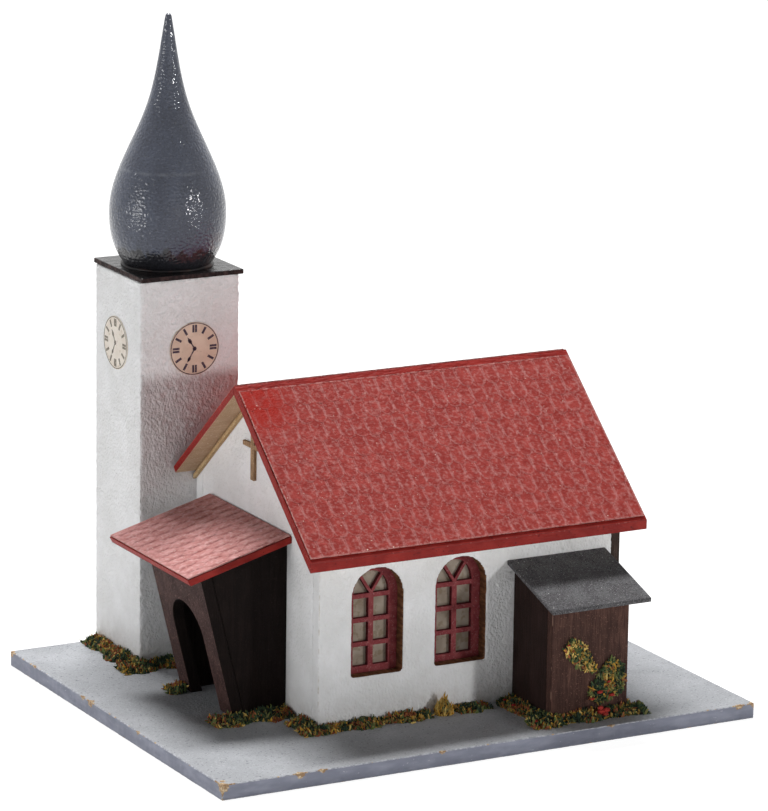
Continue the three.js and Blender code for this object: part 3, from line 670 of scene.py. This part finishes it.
roof_pitch = math.radians(40.2)
front_sheet_length = 68.5 * mm
back_sheet_length = 57.6 * mm
first_edge = 6.5 * mm
front_low, front_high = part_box("roof_tile_sheet_front")
back_low, back_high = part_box("roof_tile_sheet_back")
roof_middle = (front_low.x + front_high.x) / 2
sheet_lip = 0.3 * mm
front_edges = (("Z", front_low.z, 0.7 * mm), ("Z", front_high.z - 0.3 * mm, -0.6 * mm),
               ("X", front_low.x, 0.5 * mm), ("X", front_high.x, -0.5 * mm))
front_tiles_paint = tile_paint(
    "front_tile_paint", rgb(142, 46, 41), rgb(162, 63, 57), rgb(206, 150, 144), rgb(204, 146, 142),
    joints=0.62, groove=0.1, patch=rgb(158, 32, 22), patch_at=(-0.051, -0.006, 0.108), patch_reach=17 * mm,
    edges=front_edges)
lay_tiles("roof_tile_sheet_front", "roof_tiles_front", (roof_middle, front_low.y + sheet_lip, front_low.z),
          roof_pitch, 0, front_sheet_length, first_edge, front_shape, front_tiles_paint)
lay_tiles("roof_tile_sheet_back", "roof_tiles_back", (roof_middle, back_high.y - sheet_lip, back_low.z),
          roof_pitch, math.pi, back_sheet_length, first_edge, front_shape, front_tiles_paint)

# Gable battens and cross
# Thin strips of bare yellowish wood: two under the roof boards along the west gable, two halved into a cross.
raw_strip = stained_wood("raw_strip", rgb(168, 136, 96), rgb(212, 188, 148), (4, 0.5, 0.5), (0.3, 0.05, 0.05),
                         roughness=0.7, depth=0.06 * mm)
raw_upright = stained_wood("raw_cross_strip", rgb(112, 82, 60), rgb(182, 152, 118), (4, 4, 0.2),
                           (0.5, 0.5, 0.04), roughness=0.7, depth=0.06 * mm)
for node in ("gable_batten_front", "gable_batten_back"):
    trimmed_board(node, node + "_strip", 0.12 * mm, "raw_wood", raw_strip)
cross_shift = -0.6 * mm
for node in ("cross_upright", "cross_arm"):
    strip = trimmed_board(node, node + "_strip", 0.12 * mm, "raw_wood", raw_upright)
    strip.data.transform(Matrix.Translation((0, cross_shift, 0)))

# Tower
# Four boards glued into a square shaft and painted white. The front face carries thick rough daubs, the west
# face is nearly smooth.
tower_white = white_paint("tower_white_paint", 0.2, 0.8, (1, 1, 0.8))
joint_lap = 0.7 * mm
for node, roughness, bed in (("tower_front_wall", 1.0, (0, joint_lap, 0)),
                             ("tower_west_wall", 0.2, (0, 0, 0)),
                             ("tower_back_wall", 0.3, (0, -joint_lap, 0)),
                             ("tower_east_wall", 0.3, (0, 0, 0))):
    plaster(node, (tower_white,), lambda point: roughness, voxel=0.6 * mm, bed=bed)

# Tower cap
# A thin plate with a slightly ragged sawn edge, under dark glossy paint that has pooled unevenly.
cap_paint, tree, shader = new_paint("cap_dark_gloss", 0.27, 0.42)
colour = blend(tree, flecks(tree, 3.5, 0.42, 0.2), rgb(14, 11, 12), rgb(28, 23, 24))
tree.links.new(colour, shader.inputs["Base Color"])
shader.inputs["Coat Weight"].default_value = 0.15
shader.inputs["Coat Roughness"].default_value = 0.15
relief(tree, shader, flecks(tree, 3.0, 0.2, 0.6, detail=3), 0.35 * mm)
cap_edge, tree, shader = new_paint("cap_sawn_edge", 0.6, 0.12)
colour = blend(tree, flecks(tree, 2, 0.42, 0.2), rgb(34, 24, 24), rgb(66, 50, 48))
tree.links.new(colour, shader.inputs["Base Color"])
relief(tree, shader, flecks(tree, 0.9, 0.3, 0.4), 0.3 * mm)
cap = trimmed_board("tower_cap", "tower_cap_painted", 0.3 * mm, "cap_paint", cap_paint, cap_paint, cap_edge)
repaint(cap, 2, lambda middle, normal: abs(normal.z) < 0.8)

# Onion dome
# Turned from one piece and brushed slate blue. The paint is dull and finely speckled under a clear glossy
# coat, with faint turning lines and darker runs at the foot, partly a painted reflection of the dark cap. A
# reddish-brown patch low on its front right is a painted reflection of the red roof.
dome_low, dome_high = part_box("onion_dome")
dome_axis = (dome_low + dome_high) / 2
dome_stations = (
    (14.5 * mm, 0, 0.78),
    (20 * mm, 18.3 * mm, 0),
    (6.8 * mm, 56.3 * mm, -0.31),
    (1.1 * mm, 85.1 * mm, -0.18),
)
dome_run = 12
dome_turns = 96
dome_pole = 0.02 * mm
dome_profile = [Vector((dome_pole, 0, 0)), Vector((14.1 * mm, 0, 0)), Vector((14.5 * mm, 0, 0.35 * mm))]
for start, end in zip(dome_stations, dome_stations[1:]):
    start_radius, start_z, start_growth = start
    end_radius, end_z, end_growth = end
    reach = (end_z - start_z) / 3
    controls = ((start_radius, start_z), (start_radius + start_growth * reach, start_z + reach),
                (end_radius - end_growth * reach, end_z - reach), (end_radius, end_z))
    for step in range(1, dome_run + 1):
        t = step / dome_run
        weights = ((1 - t) ** 3, 3 * t * (1 - t) ** 2, 3 * t * t * (1 - t), t ** 3)
        dome_profile.append(Vector((sum(w * c[0] for w, c in zip(weights, controls)), 0,
                                    sum(w * c[1] for w, c in zip(weights, controls)))))
dome_profile += [Vector((0.9 * mm, 0, 85.7 * mm)), Vector((0.5 * mm, 0, 86.05 * mm)),
                 Vector((dome_pole, 0, 86.2 * mm))]
foot = Vector((dome_axis.x, dome_axis.y, dome_low.z))
bpy.ops.object.select_all(action="DESELECT")
bpy.ops.mesh.primitive_plane_add(size=mm, location=foot + dome_profile[0])
dome = bpy.context.active_object
dome.name = "onion_dome_turned"
bpy.ops.object.transform_apply(location=True)
bpy.ops.object.mode_set(mode="EDIT")
bpy.ops.mesh.select_all(action="SELECT")
bpy.ops.mesh.merge(type="CENTER")
for before, after in zip(dome_profile, dome_profile[1:]):
    bpy.ops.mesh.extrude_region_move(TRANSFORM_OT_translate={"value": after - before})
bpy.ops.mesh.select_all(action="SELECT")
bpy.ops.mesh.spin(steps=dome_turns, angle=2 * math.pi, center=foot, axis=(0, 0, 1))
bpy.ops.mesh.select_all(action="SELECT")
bpy.ops.mesh.remove_doubles(threshold=0.03 * mm)
bpy.ops.mesh.normals_make_consistent(inside=False)
bpy.ops.object.mode_set(mode="OBJECT")
bpy.ops.object.shade_smooth_by_angle(angle=math.radians(40))

slate_paint, tree, shader = new_paint("dome_slate_paint", 0.5, 0.12)
spot = spot_on(tree)
height = wire(tree, "ShaderNodeSeparateXYZ", {0: spot}).outputs["Z"]
colour = blend(tree, flecks(tree, 7, 0.4, 0.25, stretch=(1, 1, 0.5)), rgb(56, 61, 76), rgb(66, 72, 88))
speckle = flecks(tree, 0.6, 0.54, 0.12, stretch=(0.6, 0.6, 1.3), detail=3)
colour = blend(tree, speckle, colour, rgb(98, 103, 118), 0.4)
colour = blend(tree, flecks(tree, 0.7, 0.6, 0.06, shift=(8, 8, 8)), colour, rgb(30, 34, 42), 0.6)
ring_height = foot.z + 33.8 * mm
above_ring = calc(tree, "SUBTRACT", height, ring_height)
from_ring = wire(tree, "ShaderNodeMath", {0: above_ring}, operation="ABSOLUTE").outputs[0]
ring = fade(tree, from_ring, 0.8 * mm, 0.1 * mm)
ring = calc(tree, "MULTIPLY", ring, flecks(tree, 5, 0.4, 0.2, shift=(3, 0, 0)))
colour = blend(tree, ring, colour, rgb(120, 124, 132), 0.4)
# Darker towards the foot in ragged runs: partly runs of paint, partly a painted reflection of the dark cap.
runs_top = foot.z + 10 * mm
runs = fade(tree, height, runs_top, foot.z + 2 * mm, top=1.3)
runs = calc(tree, "ADD", runs, flecks(tree, 3.4, 0.2, 0.6, stretch=(1, 1, 0.3)))
runs = calc(tree, "MULTIPLY", fade(tree, runs, 0.86, 1.06), calc(tree, "LESS_THAN", height, runs_top))
colour = blend(tree, runs, colour, rgb(26, 25, 27), 0.9)
# A reddish-brown patch low on the front right: a painted reflection of the red roof.
roof_reflection_at = (foot.x + 11 * mm, foot.y - 14 * mm, foot.z + 7 * mm)
stain = fade(tree, distance(tree, spot, roof_reflection_at), 8 * mm, 1 * mm)
stain = calc(tree, "MULTIPLY", stain, flecks(tree, 2.4, 0.4, 0.2))
colour = blend(tree, stain, colour, rgb(78, 46, 42), 0.75)
tree.links.new(colour, shader.inputs["Base Color"])
turning_lines = 5200.0
turning = calc(tree, "MULTIPLY", height, turning_lines)
turning = wire(tree, "ShaderNodeMath", {0: turning}, operation="SINE").outputs[0]
rough_skin = calc(tree, "ADD", calc(tree, "MULTIPLY", turning, 0.08), flecks(tree, 0.9, 0.2, 0.6, detail=0.4))
relief(tree, shader, rough_skin, 0.17 * mm)
shader.inputs["Coat Weight"].default_value = 0.85
shader.inputs["Coat Roughness"].default_value = 0.06
tree.links.new(shader.inputs["Normal"].links[0].from_socket, shader.inputs["Coat Normal"])
dome.data.materials.append(slate_paint)
stands_for(dome, "onion_dome")

# Dome glue
# A ragged bead of dark varnish that has run out round the foot of the dome and dried glossy on the cap.
glue_ring = 14.8 * mm
glue_bead = 1.3 * mm
glue_flat = 0.6
bpy.ops.object.select_all(action="DESELECT")
bpy.ops.mesh.primitive_torus_add(major_radius=glue_ring, minor_radius=glue_bead, major_segments=44,
                                 minor_segments=8, location=(0, 0, 0))
glue = bpy.context.active_object
glue.name = "dome_glue_bead"
bpy.ops.object.mode_set(mode="EDIT")
bpy.ops.mesh.select_all(action="SELECT")
bpy.ops.transform.vertex_random(offset=1.0 * mm, uniform=0.3, seed=6)
bpy.ops.mesh.vertices_smooth(factor=0.5, repeat=2)
bpy.ops.transform.resize(value=(1, 1, glue_flat))
bpy.ops.object.mode_set(mode="OBJECT")
glue.data.transform(Matrix.Translation((foot.x, foot.y, foot.z + 0.2 * mm)))
bpy.ops.object.shade_smooth()
varnish, tree, shader = new_paint("dark_varnish", 0.4, 0.2)
colour = blend(tree, flecks(tree, 4, 0.45, 0.2), rgb(20, 18, 20), rgb(52, 32, 28))
tree.links.new(colour, shader.inputs["Base Color"])
glue.data.materials.append(varnish)
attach(glue, "root")

# Clock faces
# Round tan paper glued to the tower, printed with a thin ring, twelve short bars, doubled at the quarters,
# and two pointed hands. The prints lie a hair above the paper.
dial_print = 0.05 * mm


def print_colours(face, ink, ink_worn, paper_dark, paper_light):
    """The ink and the paper of one dial."""
    print_ink, tree, shader = new_paint("print_ink_" + face, 0.65)
    tree.links.new(blend(tree, flecks(tree, 0.8, 0.55, 0.1), ink, ink_worn), shader.inputs["Base Color"])
    dial_paper, tree, shader = new_paint("dial_paper_" + face, 0.8)
    colour = blend(tree, flecks(tree, 4, 0.4, 0.25), paper_dark, paper_light)
    colour = blend(tree, flecks(tree, 1.4, 0.62, 0.08, shift=(2, 2, 2)), colour, rgb(176, 150, 124), 0.3)
    tree.links.new(colour, shader.inputs["Base Color"])
    return print_ink, dial_paper


front_ink, front_paper = print_colours("front", rgb(70, 58, 72), rgb(112, 94, 98), rgb(222, 198, 178),
                                       rgb(234, 212, 192))
# The west dial's paper and print are paler
west_ink, west_paper = print_colours("west", rgb(124, 116, 104), rgb(168, 160, 146), rgb(230, 220, 208),
                                     rgb(238, 230, 220))


def flat_mark(corners, radius, at, scale, tip=0.0):
    """One printed mark: a many-sided disc drawn out to its size, with a point at its top if it has one."""
    bpy.ops.object.select_all(action="DESELECT")
    bpy.ops.mesh.primitive_circle_add(vertices=corners, radius=radius, fill_type="NGON", location=(0, 0, 0),
                                      rotation=(0, 0, math.pi / 4 if corners == 4 else 0))
    mark = bpy.context.active_object
    bpy.ops.object.transform_apply(rotation=True)
    top = max(vertex.co.y for vertex in mark.data.vertices)
    for vertex in mark.data.vertices:
        if tip and vertex.co.y > top * 0.99:
            vertex.co.y += tip
        vertex.co.x = vertex.co.x * scale[0] + at[0]
        vertex.co.y = vertex.co.y * scale[1] + at[1]
    return mark


def turned_mark(mark, angle):
    """A copy of a mark turned round the clock from twelve."""
    copy = mark.copy()
    copy.data = mark.data.copy()
    scene.collection.objects.link(copy)
    copy.data.transform(Matrix.Rotation(-angle, 4, "Z"))
    return copy


def clock_print(name, facing, ink):
    """All the printing of one dial, facing up, then turned to its wall and set on its paper."""
    unit = math.sqrt(2)
    bar = flat_mark(4, 1, (0, 7.0 * mm), (0.42 * mm * unit, 1.25 * mm * unit))
    pair = [flat_mark(4, 1, (side * 0.5 * mm, 7.0 * mm), (0.38 * mm * unit, 1.3 * mm * unit))
            for side in (-1, 1)]
    marks = [turned_mark(bar, math.radians(30 * hour)) for hour in range(12) if hour % 3]
    marks += [turned_mark(one, math.radians(90 * quarter)) for one in pair for quarter in range(4)]
    for spare in (bar, *pair):
        bpy.data.objects.remove(spare)
    for angle, reach, blade in ((-33, 4.8 * mm, 0.62 * mm), (-149, 5.9 * mm, 0.52 * mm)):
        for part in (flat_mark(4, 1, (0, reach / 2 - 0.4 * mm), (0.3 * mm, reach / 2 + 0.4 * mm)),
                     flat_mark(16, 1, (0, reach * 0.68), (blade, blade * 1.7), 0.6)):
            marks.append(turned_mark(part, math.radians(angle)))
            bpy.data.objects.remove(part)
    hub = flat_mark(16, 1, (0, 0), (0.75 * mm, 0.75 * mm))
    bpy.ops.object.select_all(action="DESELECT")
    bpy.ops.mesh.primitive_circle_add(vertices=64, radius=9.05 * mm, fill_type="NGON")
    ring = bpy.context.active_object
    bpy.ops.object.mode_set(mode="EDIT")
    bpy.ops.mesh.select_all(action="SELECT")
    bpy.ops.mesh.inset(thickness=0.3 * mm, depth=0)
    bpy.ops.mesh.delete(type="FACE")
    bpy.ops.object.mode_set(mode="OBJECT")
    for part in (*marks, hub):
        part.select_set(True)
    ring.select_set(True)
    bpy.context.view_layer.objects.active = ring
    bpy.ops.object.join()
    ring.name = name
    thick = ring.modifiers.new("ink", "SOLIDIFY")
    thick.thickness = dial_print
    thick.offset = 1
    bpy.ops.object.modifier_apply(modifier="ink")
    ring.matrix_world = facing
    bpy.ops.object.transform_apply(location=True, rotation=True, scale=True)
    ring.data.materials.clear()
    ring.data.materials.append(ink)
    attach(ring, "root")


front_dial_low, front_dial_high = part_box("clock_dial_front")
west_dial_low, west_dial_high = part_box("clock_dial_west")
front_dial = (front_dial_low + front_dial_high) / 2
west_dial = (west_dial_low + west_dial_high) / 2
upright = Matrix.Rotation(math.pi / 2, 4, "X")
clock_print("clock_print_front", Matrix.Translation((front_dial.x, front_dial_low.y, front_dial.z)) @ upright,
            front_ink)
clock_print("clock_print_west", Matrix.Translation((west_dial_low.x, west_dial.y, west_dial.z))
            @ Matrix.Rotation(-math.pi / 2, 4, "Z") @ upright, west_ink)
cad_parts["clock_dial_front"].material_slots[0].material = front_paper
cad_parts["clock_dial_west"].material_slots[0].material = west_paper

# Porch
# Dark stained boards: a front wall that leans out with an arched doorway, two side walls, and a tiled roof
# board with a red edge.
porch_front_stain = stained_wood("porch_front_stain", rgb(44, 30, 28), rgb(92, 69, 65), (5, 5, 0.6),
                                 (0.3, 0.3, 0.12), shift=(0, 11, 0), gritty=0.8)
# The side stain is far darker than the front's: partly a darker stain, partly painted shade. It goes on the
# side walls, on every face of the front wall but its front, so in the doorway and on its shaded ends, and
# under the roof board.
porch_side_stain_and_painted_shade = stained_wood("porch_side_stain_and_painted_shade", rgb(16, 11, 10), rgb(32, 24, 22), (5, 5, 0.12),
                                (0.25, 0.25, 0.02), shift=(7, 3, 0))
porch_front = trimmed_board("porch_front_wall", "porch_front_wall_stained", 0.2 * mm, "dark_stain",
                            porch_front_stain, porch_front_stain, porch_side_stain_and_painted_shade)
# Painted shade: the doorway's reveals and the front wall's back and ends take the near-black side stain.
repaint(porch_front, 2, lambda middle, normal: normal.x > -0.9)
for node in ("porch_south_wall", "porch_north_wall"):
    trimmed_board(node, node + "_stained", 0.06 * mm, "dark_stain", porch_side_stain_and_painted_shade)
porch_roof = trimmed_board("porch_roof_board", "porch_roof_board_painted", 0.25 * mm, "red_board",
                           roof_edge_red, roof_rubbed, porch_side_stain_and_painted_shade)
# The roof board's underside takes the near-black side stain too, partly painted shade.
repaint(porch_roof, 2, lambda middle, normal: normal.z < -0.5)
porch_pitch = math.radians(15.4)
porch_sheet_length = 38.7 * mm
porch_first_edge = 7.9 * mm
porch_lip = 0.12 * mm
porch_shape = (0.1 * mm, 0.7 * mm, 0.1 * mm)
porch_low, porch_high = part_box("porch_tile_sheet")
porch_edges = (("X", porch_low.x, 0.6 * mm), ("Y", porch_low.y, 0.5 * mm), ("Y", porch_high.y, -0.5 * mm))
# The porch sheet is the same card as the main roof, but its paint is much paler and lighter: a painted sheen
# of the light from above and behind. Its dark joint colour is painted shade in the valleys between the tiles.
porch_tiles_paint_and_painted_sheen = tile_paint(
    "porch_tile_paint_and_painted_sheen", rgb(184, 122, 118), rgb(206, 150, 147), rgb(228, 202, 198), rgb(132, 70, 67),
    joints=0.75, groove=1.2, patch=rgb(176, 60, 44), patch_at=(-0.06, 0, 0.06), patch_reach=1 * mm,
    edges=porch_edges)
porch_foot = (porch_low.x + porch_lip, (porch_low.y + porch_high.y) / 2, porch_low.z)
lay_tiles("porch_tile_sheet", "porch_tiles", porch_foot, porch_pitch, -math.pi / 2, porch_sheet_length,
          porch_first_edge, porch_shape, porch_tiles_paint_and_painted_sheen)

# Shed
# Three dark stained boards under a sloping board covered with fine grey grit like roofing felt.
shed_front_stain = stained_wood("shed_front_stain", rgb(52, 36, 33), rgb(100, 72, 63), (4, 4, 0.2),
                                (0.3, 0.3, 0.015), shift=(3, 0, 5))
# The side walls' stain is much darker than the front's: partly a darker stain, partly painted shade of the
# sides turned from the lamps. It also goes under the shed roof.
shed_side_stain_and_painted_shade = stained_wood("shed_side_stain_and_painted_shade", rgb(30, 20, 18), rgb(56, 40, 37), (4, 4, 0.1),
                               (0.3, 0.3, 0.015))
shed_rubbed, tree, shader = new_paint("shed_rubbed_edge", 0.7, 0.06)
colour = blend(tree, flecks(tree, 1.6, 0.5, 0.1, stretch=(1, 1, 0.5)), rgb(56, 38, 34), rgb(128, 100, 88))
tree.links.new(colour, shader.inputs["Base Color"])
trimmed_board("shed_front_wall", "shed_front_wall_stained", 0.2 * mm, "dark_stain",
              shed_front_stain, shed_rubbed)
for node in ("shed_west_wall", "shed_east_wall"):
    trimmed_board(node, node + "_stained", 0.2 * mm, "dark_stain", shed_side_stain_and_painted_shade)
felt, tree, shader = new_paint("shed_felt", 0.9)
colour = blend(tree, flecks(tree, 6, 0.4, 0.25), rgb(86, 84, 86), rgb(102, 101, 103))
colour = blend(tree, flecks(tree, 0.45, 0.54, 0.08, detail=3), colour, rgb(124, 124, 126))
colour = blend(tree, flecks(tree, 0.5, 0.6, 0.06, shift=(9, 9, 0)), colour, rgb(48, 48, 50))
colour = blend(tree, flecks(tree, 0.6, 0.7, 0.03, shift=(1, 22, 0)), colour, rgb(206, 206, 204))
tree.links.new(colour, shader.inputs["Base Color"])
relief(tree, shader, flecks(tree, 0.45, 0.3, 0.4, detail=3), 0.3 * mm)
shed_roof = trimmed_board("shed_roof", "shed_roof_felted", 0.4 * mm, "felt", felt, felt, shed_side_stain_and_painted_shade)
# The roof's underside takes the dark side stain, partly painted shade.
repaint(shed_roof, 2, lambda middle, normal: normal.z < -0.5)

# Flock
# Shredded dyed fibres glued along the feet of the walls and, as climbing plants, on the shed: greens, ochre
# and red in clusters, ragged over a dark bed of glue, with a few red flowers and one spiky yellow tuft.
flock_dye, tree, shader = new_paint("flock_dye", 0.9)
dye = wire(tree, "ShaderNodeAttribute", {}, attribute_name="dye").outputs["Fac"]
ramp = wire(tree, "ShaderNodeValToRGB", {"Fac": dye})
ramp.color_ramp.interpolation = "CONSTANT"
stops = ramp.color_ramp.elements
stops[0].position, stops[0].color = 0.0, rgb(34, 32, 24)
stops[1].position, stops[1].color = 0.04, rgb(48, 64, 50)
for position, dyed in ((0.20, rgb(70, 88, 58)), (0.36, rgb(102, 114, 66)), (0.50, rgb(132, 130, 82)),
                       (0.62, rgb(168, 136, 70)), (0.72, rgb(206, 158, 66)), (0.79, rgb(226, 194, 114)),
                       (0.85, rgb(152, 92, 62)), (0.92, rgb(162, 52, 46)), (0.965, rgb(216, 196, 160))):
    stops.new(position).color = dyed
tree.links.new(ramp.outputs["Color"], shader.inputs["Base Color"])


def model_crumb(name, size, seed):
    """One torn crumb of fibre, twenty faces."""
    bpy.ops.object.select_all(action="DESELECT")
    bpy.ops.mesh.primitive_ico_sphere_add(subdivisions=1, radius=0.5 * mm, location=(0, 0, 0))
    crumb = bpy.context.active_object
    crumb.name = name
    crumb.data.materials.append(flock_dye)
    bpy.ops.object.mode_set(mode="EDIT")
    bpy.ops.mesh.select_all(action="SELECT")
    bpy.ops.transform.vertex_random(offset=0.16 * mm, uniform=0.0, seed=seed)
    bpy.ops.transform.resize(value=size)
    bpy.ops.object.mode_set(mode="OBJECT")
    return crumb


def new_scatter(name, layers, seed):
    """A bed with layers of crumbs strewn over it. Each layer gives its crumb, how many per square millimetre,
    their two sizes, two dyes and how far they tip over."""
    tree = bpy.data.node_groups.new(name, "GeometryNodeTree")
    tree.interface.new_socket("Geometry", in_out="INPUT", socket_type="NodeSocketGeometry")
    tree.interface.new_socket("Geometry", in_out="OUTPUT", socket_type="NodeSocketGeometry")
    bed = tree.nodes.new("NodeGroupInput").outputs[0]
    joined = tree.nodes.new("GeometryNodeJoinGeometry")
    tree.links.new(bed, joined.inputs[0])
    place = tree.nodes.new("GeometryNodeInputPosition").outputs[0]
    cluster = wire(tree, "ShaderNodeTexNoise", {"Vector": place, "Scale": 210.0, "Detail": 1.0}).outputs[0]
    for crumb, per_mm2, sizes, dyes, tip in layers:
        seed += 7
        points = wire(tree, "GeometryNodeDistributePointsOnFaces",
                      {"Mesh": bed, "Density": per_mm2 / mm ** 2, "Seed": seed})
        source = wire(tree, "GeometryNodeObjectInfo", {"Object": crumb})
        turn = wire(tree, "FunctionNodeRandomValue", {0: (-tip, -tip, -math.pi), 1: (tip, tip, math.pi),
                                                      "Seed": seed + 1}, data_type="FLOAT_VECTOR")
        size = wire(tree, "FunctionNodeRandomValue", {2: sizes[0], 3: sizes[1], "Seed": seed + 2},
                    data_type="FLOAT")
        strewn = wire(tree, "GeometryNodeInstanceOnPoints",
                      {"Points": points.outputs["Points"], "Instance": source.outputs["Geometry"],
                       "Rotation": turn.outputs[0], "Scale": size.outputs[1]})
        jitter = (dyes[1] - dyes[0]) * 0.6
        stray = wire(tree, "FunctionNodeRandomValue", {2: -jitter, 3: jitter, "Seed": seed + 3},
                     data_type="FLOAT")
        clump = wire(tree, "ShaderNodeMapRange", {"Value": cluster, "From Min": 0.34, "From Max": 0.66,
                                                  "To Min": dyes[0], "To Max": dyes[1]})
        shade = calc(tree, "ADD", stray.outputs[1], clump.outputs["Result"])
        shade = wire(tree, "ShaderNodeClamp", {"Value": shade, "Min": dyes[0], "Max": dyes[1]})
        dyed = wire(tree, "GeometryNodeStoreNamedAttribute",
                    {"Geometry": strewn.outputs[0], "Name": "dye", "Value": shade.outputs[0]},
                    data_type="FLOAT", domain="INSTANCE")
        real = wire(tree, "GeometryNodeRealizeInstances", {"Geometry": dyed.outputs[0]})
        tree.links.new(real.outputs[0], joined.inputs[0])
    tree.links.new(joined.outputs[0], tree.nodes.new("NodeGroupOutput").inputs[0])
    return tree


round_crumb = model_crumb("round_crumb", (1.2, 0.9, 0.7), 3)
shred = model_crumb("shred", (2.6, 0.6, 0.36), 8)
spike = model_crumb("spike", (0.5, 0.5, 4.4), 5)
any_way = math.pi
shreds = (shred, 1.5, (0.6, 1.45), (0.05, 0.91), any_way)
tails = (shred, 0.25, (1.3, 1.9), (0.2, 0.9), any_way)
crumbs = (round_crumb, 0.3, (0.4, 0.9), (0.2, 0.93), any_way)
special_layers = {
    "flock_tuft": ((spike, 1.6, (0.5, 1.2), (0.66, 0.845), 0.4),
                   (shred, 1.6, (0.5, 1.2), (0.6, 0.845), any_way)),
    "climber_upper": ((shred, 1.7, (0.7, 1.5), (0.16, 0.845), any_way), tails),
    "climber_lower": ((shred, 1.7, (0.7, 1.6), (0.05, 0.66), any_way), tails),
    "flock_shed_front": (shreds, tails),
    "flock_shed_east": (shreds, (spike, 0.35, (0.6, 1.1), (0.66, 0.835), 1.3)),
}
# Red flowers: where they sit, in millimetres, and how big they are
blossoms = {
    "flock_shed_front": ((45.0, -75.0, 7.4, 3.0), (46.8, -75.2, 7.8, 2.8), (44.4, -75.4, 8.9, 2.2),
                         (46.0, -75.8, 6.6, 2.4), (20.5, -74, 7.2, 1.5)),
    "climber_lower": ((45.8, -72.6, 13.4, 2.0), (50.4, -72.6, 11.9, 2.1), (42.8, -72.6, 11.4, 1.7),
                      (49.2, -72.5, 16.6, 1.3)),
    "climber_upper": ((33.6, -72.3, 31, 1.1),),
    "flock_shed_west": ((22.4, -56, 7.4, 1.5), (23, -49, 7.2, 1.2)),
}
bed_sink = 0.7 * mm
bed_lump = 1.0 * mm
bed_voxel = 0.4 * mm


def reshape(node, point, low, high):
    """Draws a bed into its own outline: the upper climber to a slanting band, the lower one wide at its foot,
    the tuft to a point close to the wall."""
    middle = (low + high) / 2
    rise = (point.z - low.z) / (high.z - low.z)
    if node == "climber_upper":
        across = (point.x - middle.x + point.z - middle.z) / 2
        return point - Vector((0.2 * across, 0, 0.2 * across))
    if node == "climber_lower":
        stem = low.x + 1.8 * mm + 6.8 * mm * rise
        wide = stem + 2.6 * mm * (1 - rise) + (point.x - stem) * (1 + 1.9 * (1 - rise) ** 3)
        return Vector((min(high.x - 0.5 * mm, wide), point.y, point.z))
    if node == "flock_tuft":
        narrowed = middle.x + (point.x - middle.x) * (0.95 - 0.5 * rise)
        return Vector((narrowed, high.y + (point.y - high.y) * 0.8, point.z))
    return point


ground = base_high.z
planted = sorted(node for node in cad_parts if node.startswith(("flock", "climber")))
for count, node in enumerate(planted):
    strip = fresh_copy(node, node + "_shredded", flock_dye)
    skin = strip.modifiers.new("skin", "REMESH")
    skin.mode = "VOXEL"
    skin.voxel_size = bed_voxel
    bpy.ops.object.modifier_apply(modifier="skin")
    bpy.ops.object.mode_set(mode="EDIT")
    bpy.ops.mesh.select_all(action="SELECT")
    bpy.ops.transform.shrink_fatten(value=-bed_sink)
    bpy.ops.object.mode_set(mode="OBJECT")
    daub(strip, 2.4 * mm, bed_lump, lambda point: 1.0)
    low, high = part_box(node)
    on_wall = node.startswith("climber")
    for vertex in strip.data.vertices:
        vertex.co = reshape(node, vertex.co.copy(), low, high)
        if on_wall:
            vertex.co.y = min(high.y, vertex.co.y + bed_sink)
        elif vertex.co.z < ground + 1.2 * bed_sink:
            vertex.co.z = ground
    strip.data.attributes.new("dye", "FLOAT", "POINT")
    scatter = strip.modifiers.new("crumbs", "NODES")
    layers = special_layers.get(node, (shreds, tails, crumbs))
    scatter.node_group = new_scatter(node + "_crumbs", layers, 40 * count)
    bpy.ops.object.modifier_apply(modifier="crumbs")
    for x, y, z, width in blossoms.get(node, ()):
        flower = round_crumb.copy()
        flower.data = round_crumb.data.copy()
        scene.collection.objects.link(flower)
        flower.data.transform(Matrix.Translation((x * mm, y * mm, z * mm)) @ Matrix.Scale(width, 4))
        for value in flower.data.attributes.new("dye", "FLOAT", "POINT").data:
            value.value = 0.94
        flower.select_set(True)
    bpy.ops.object.join()
    stands_for(strip, node)
for crumb in (round_crumb, shred, spike):
    bpy.data.objects.remove(crumb)
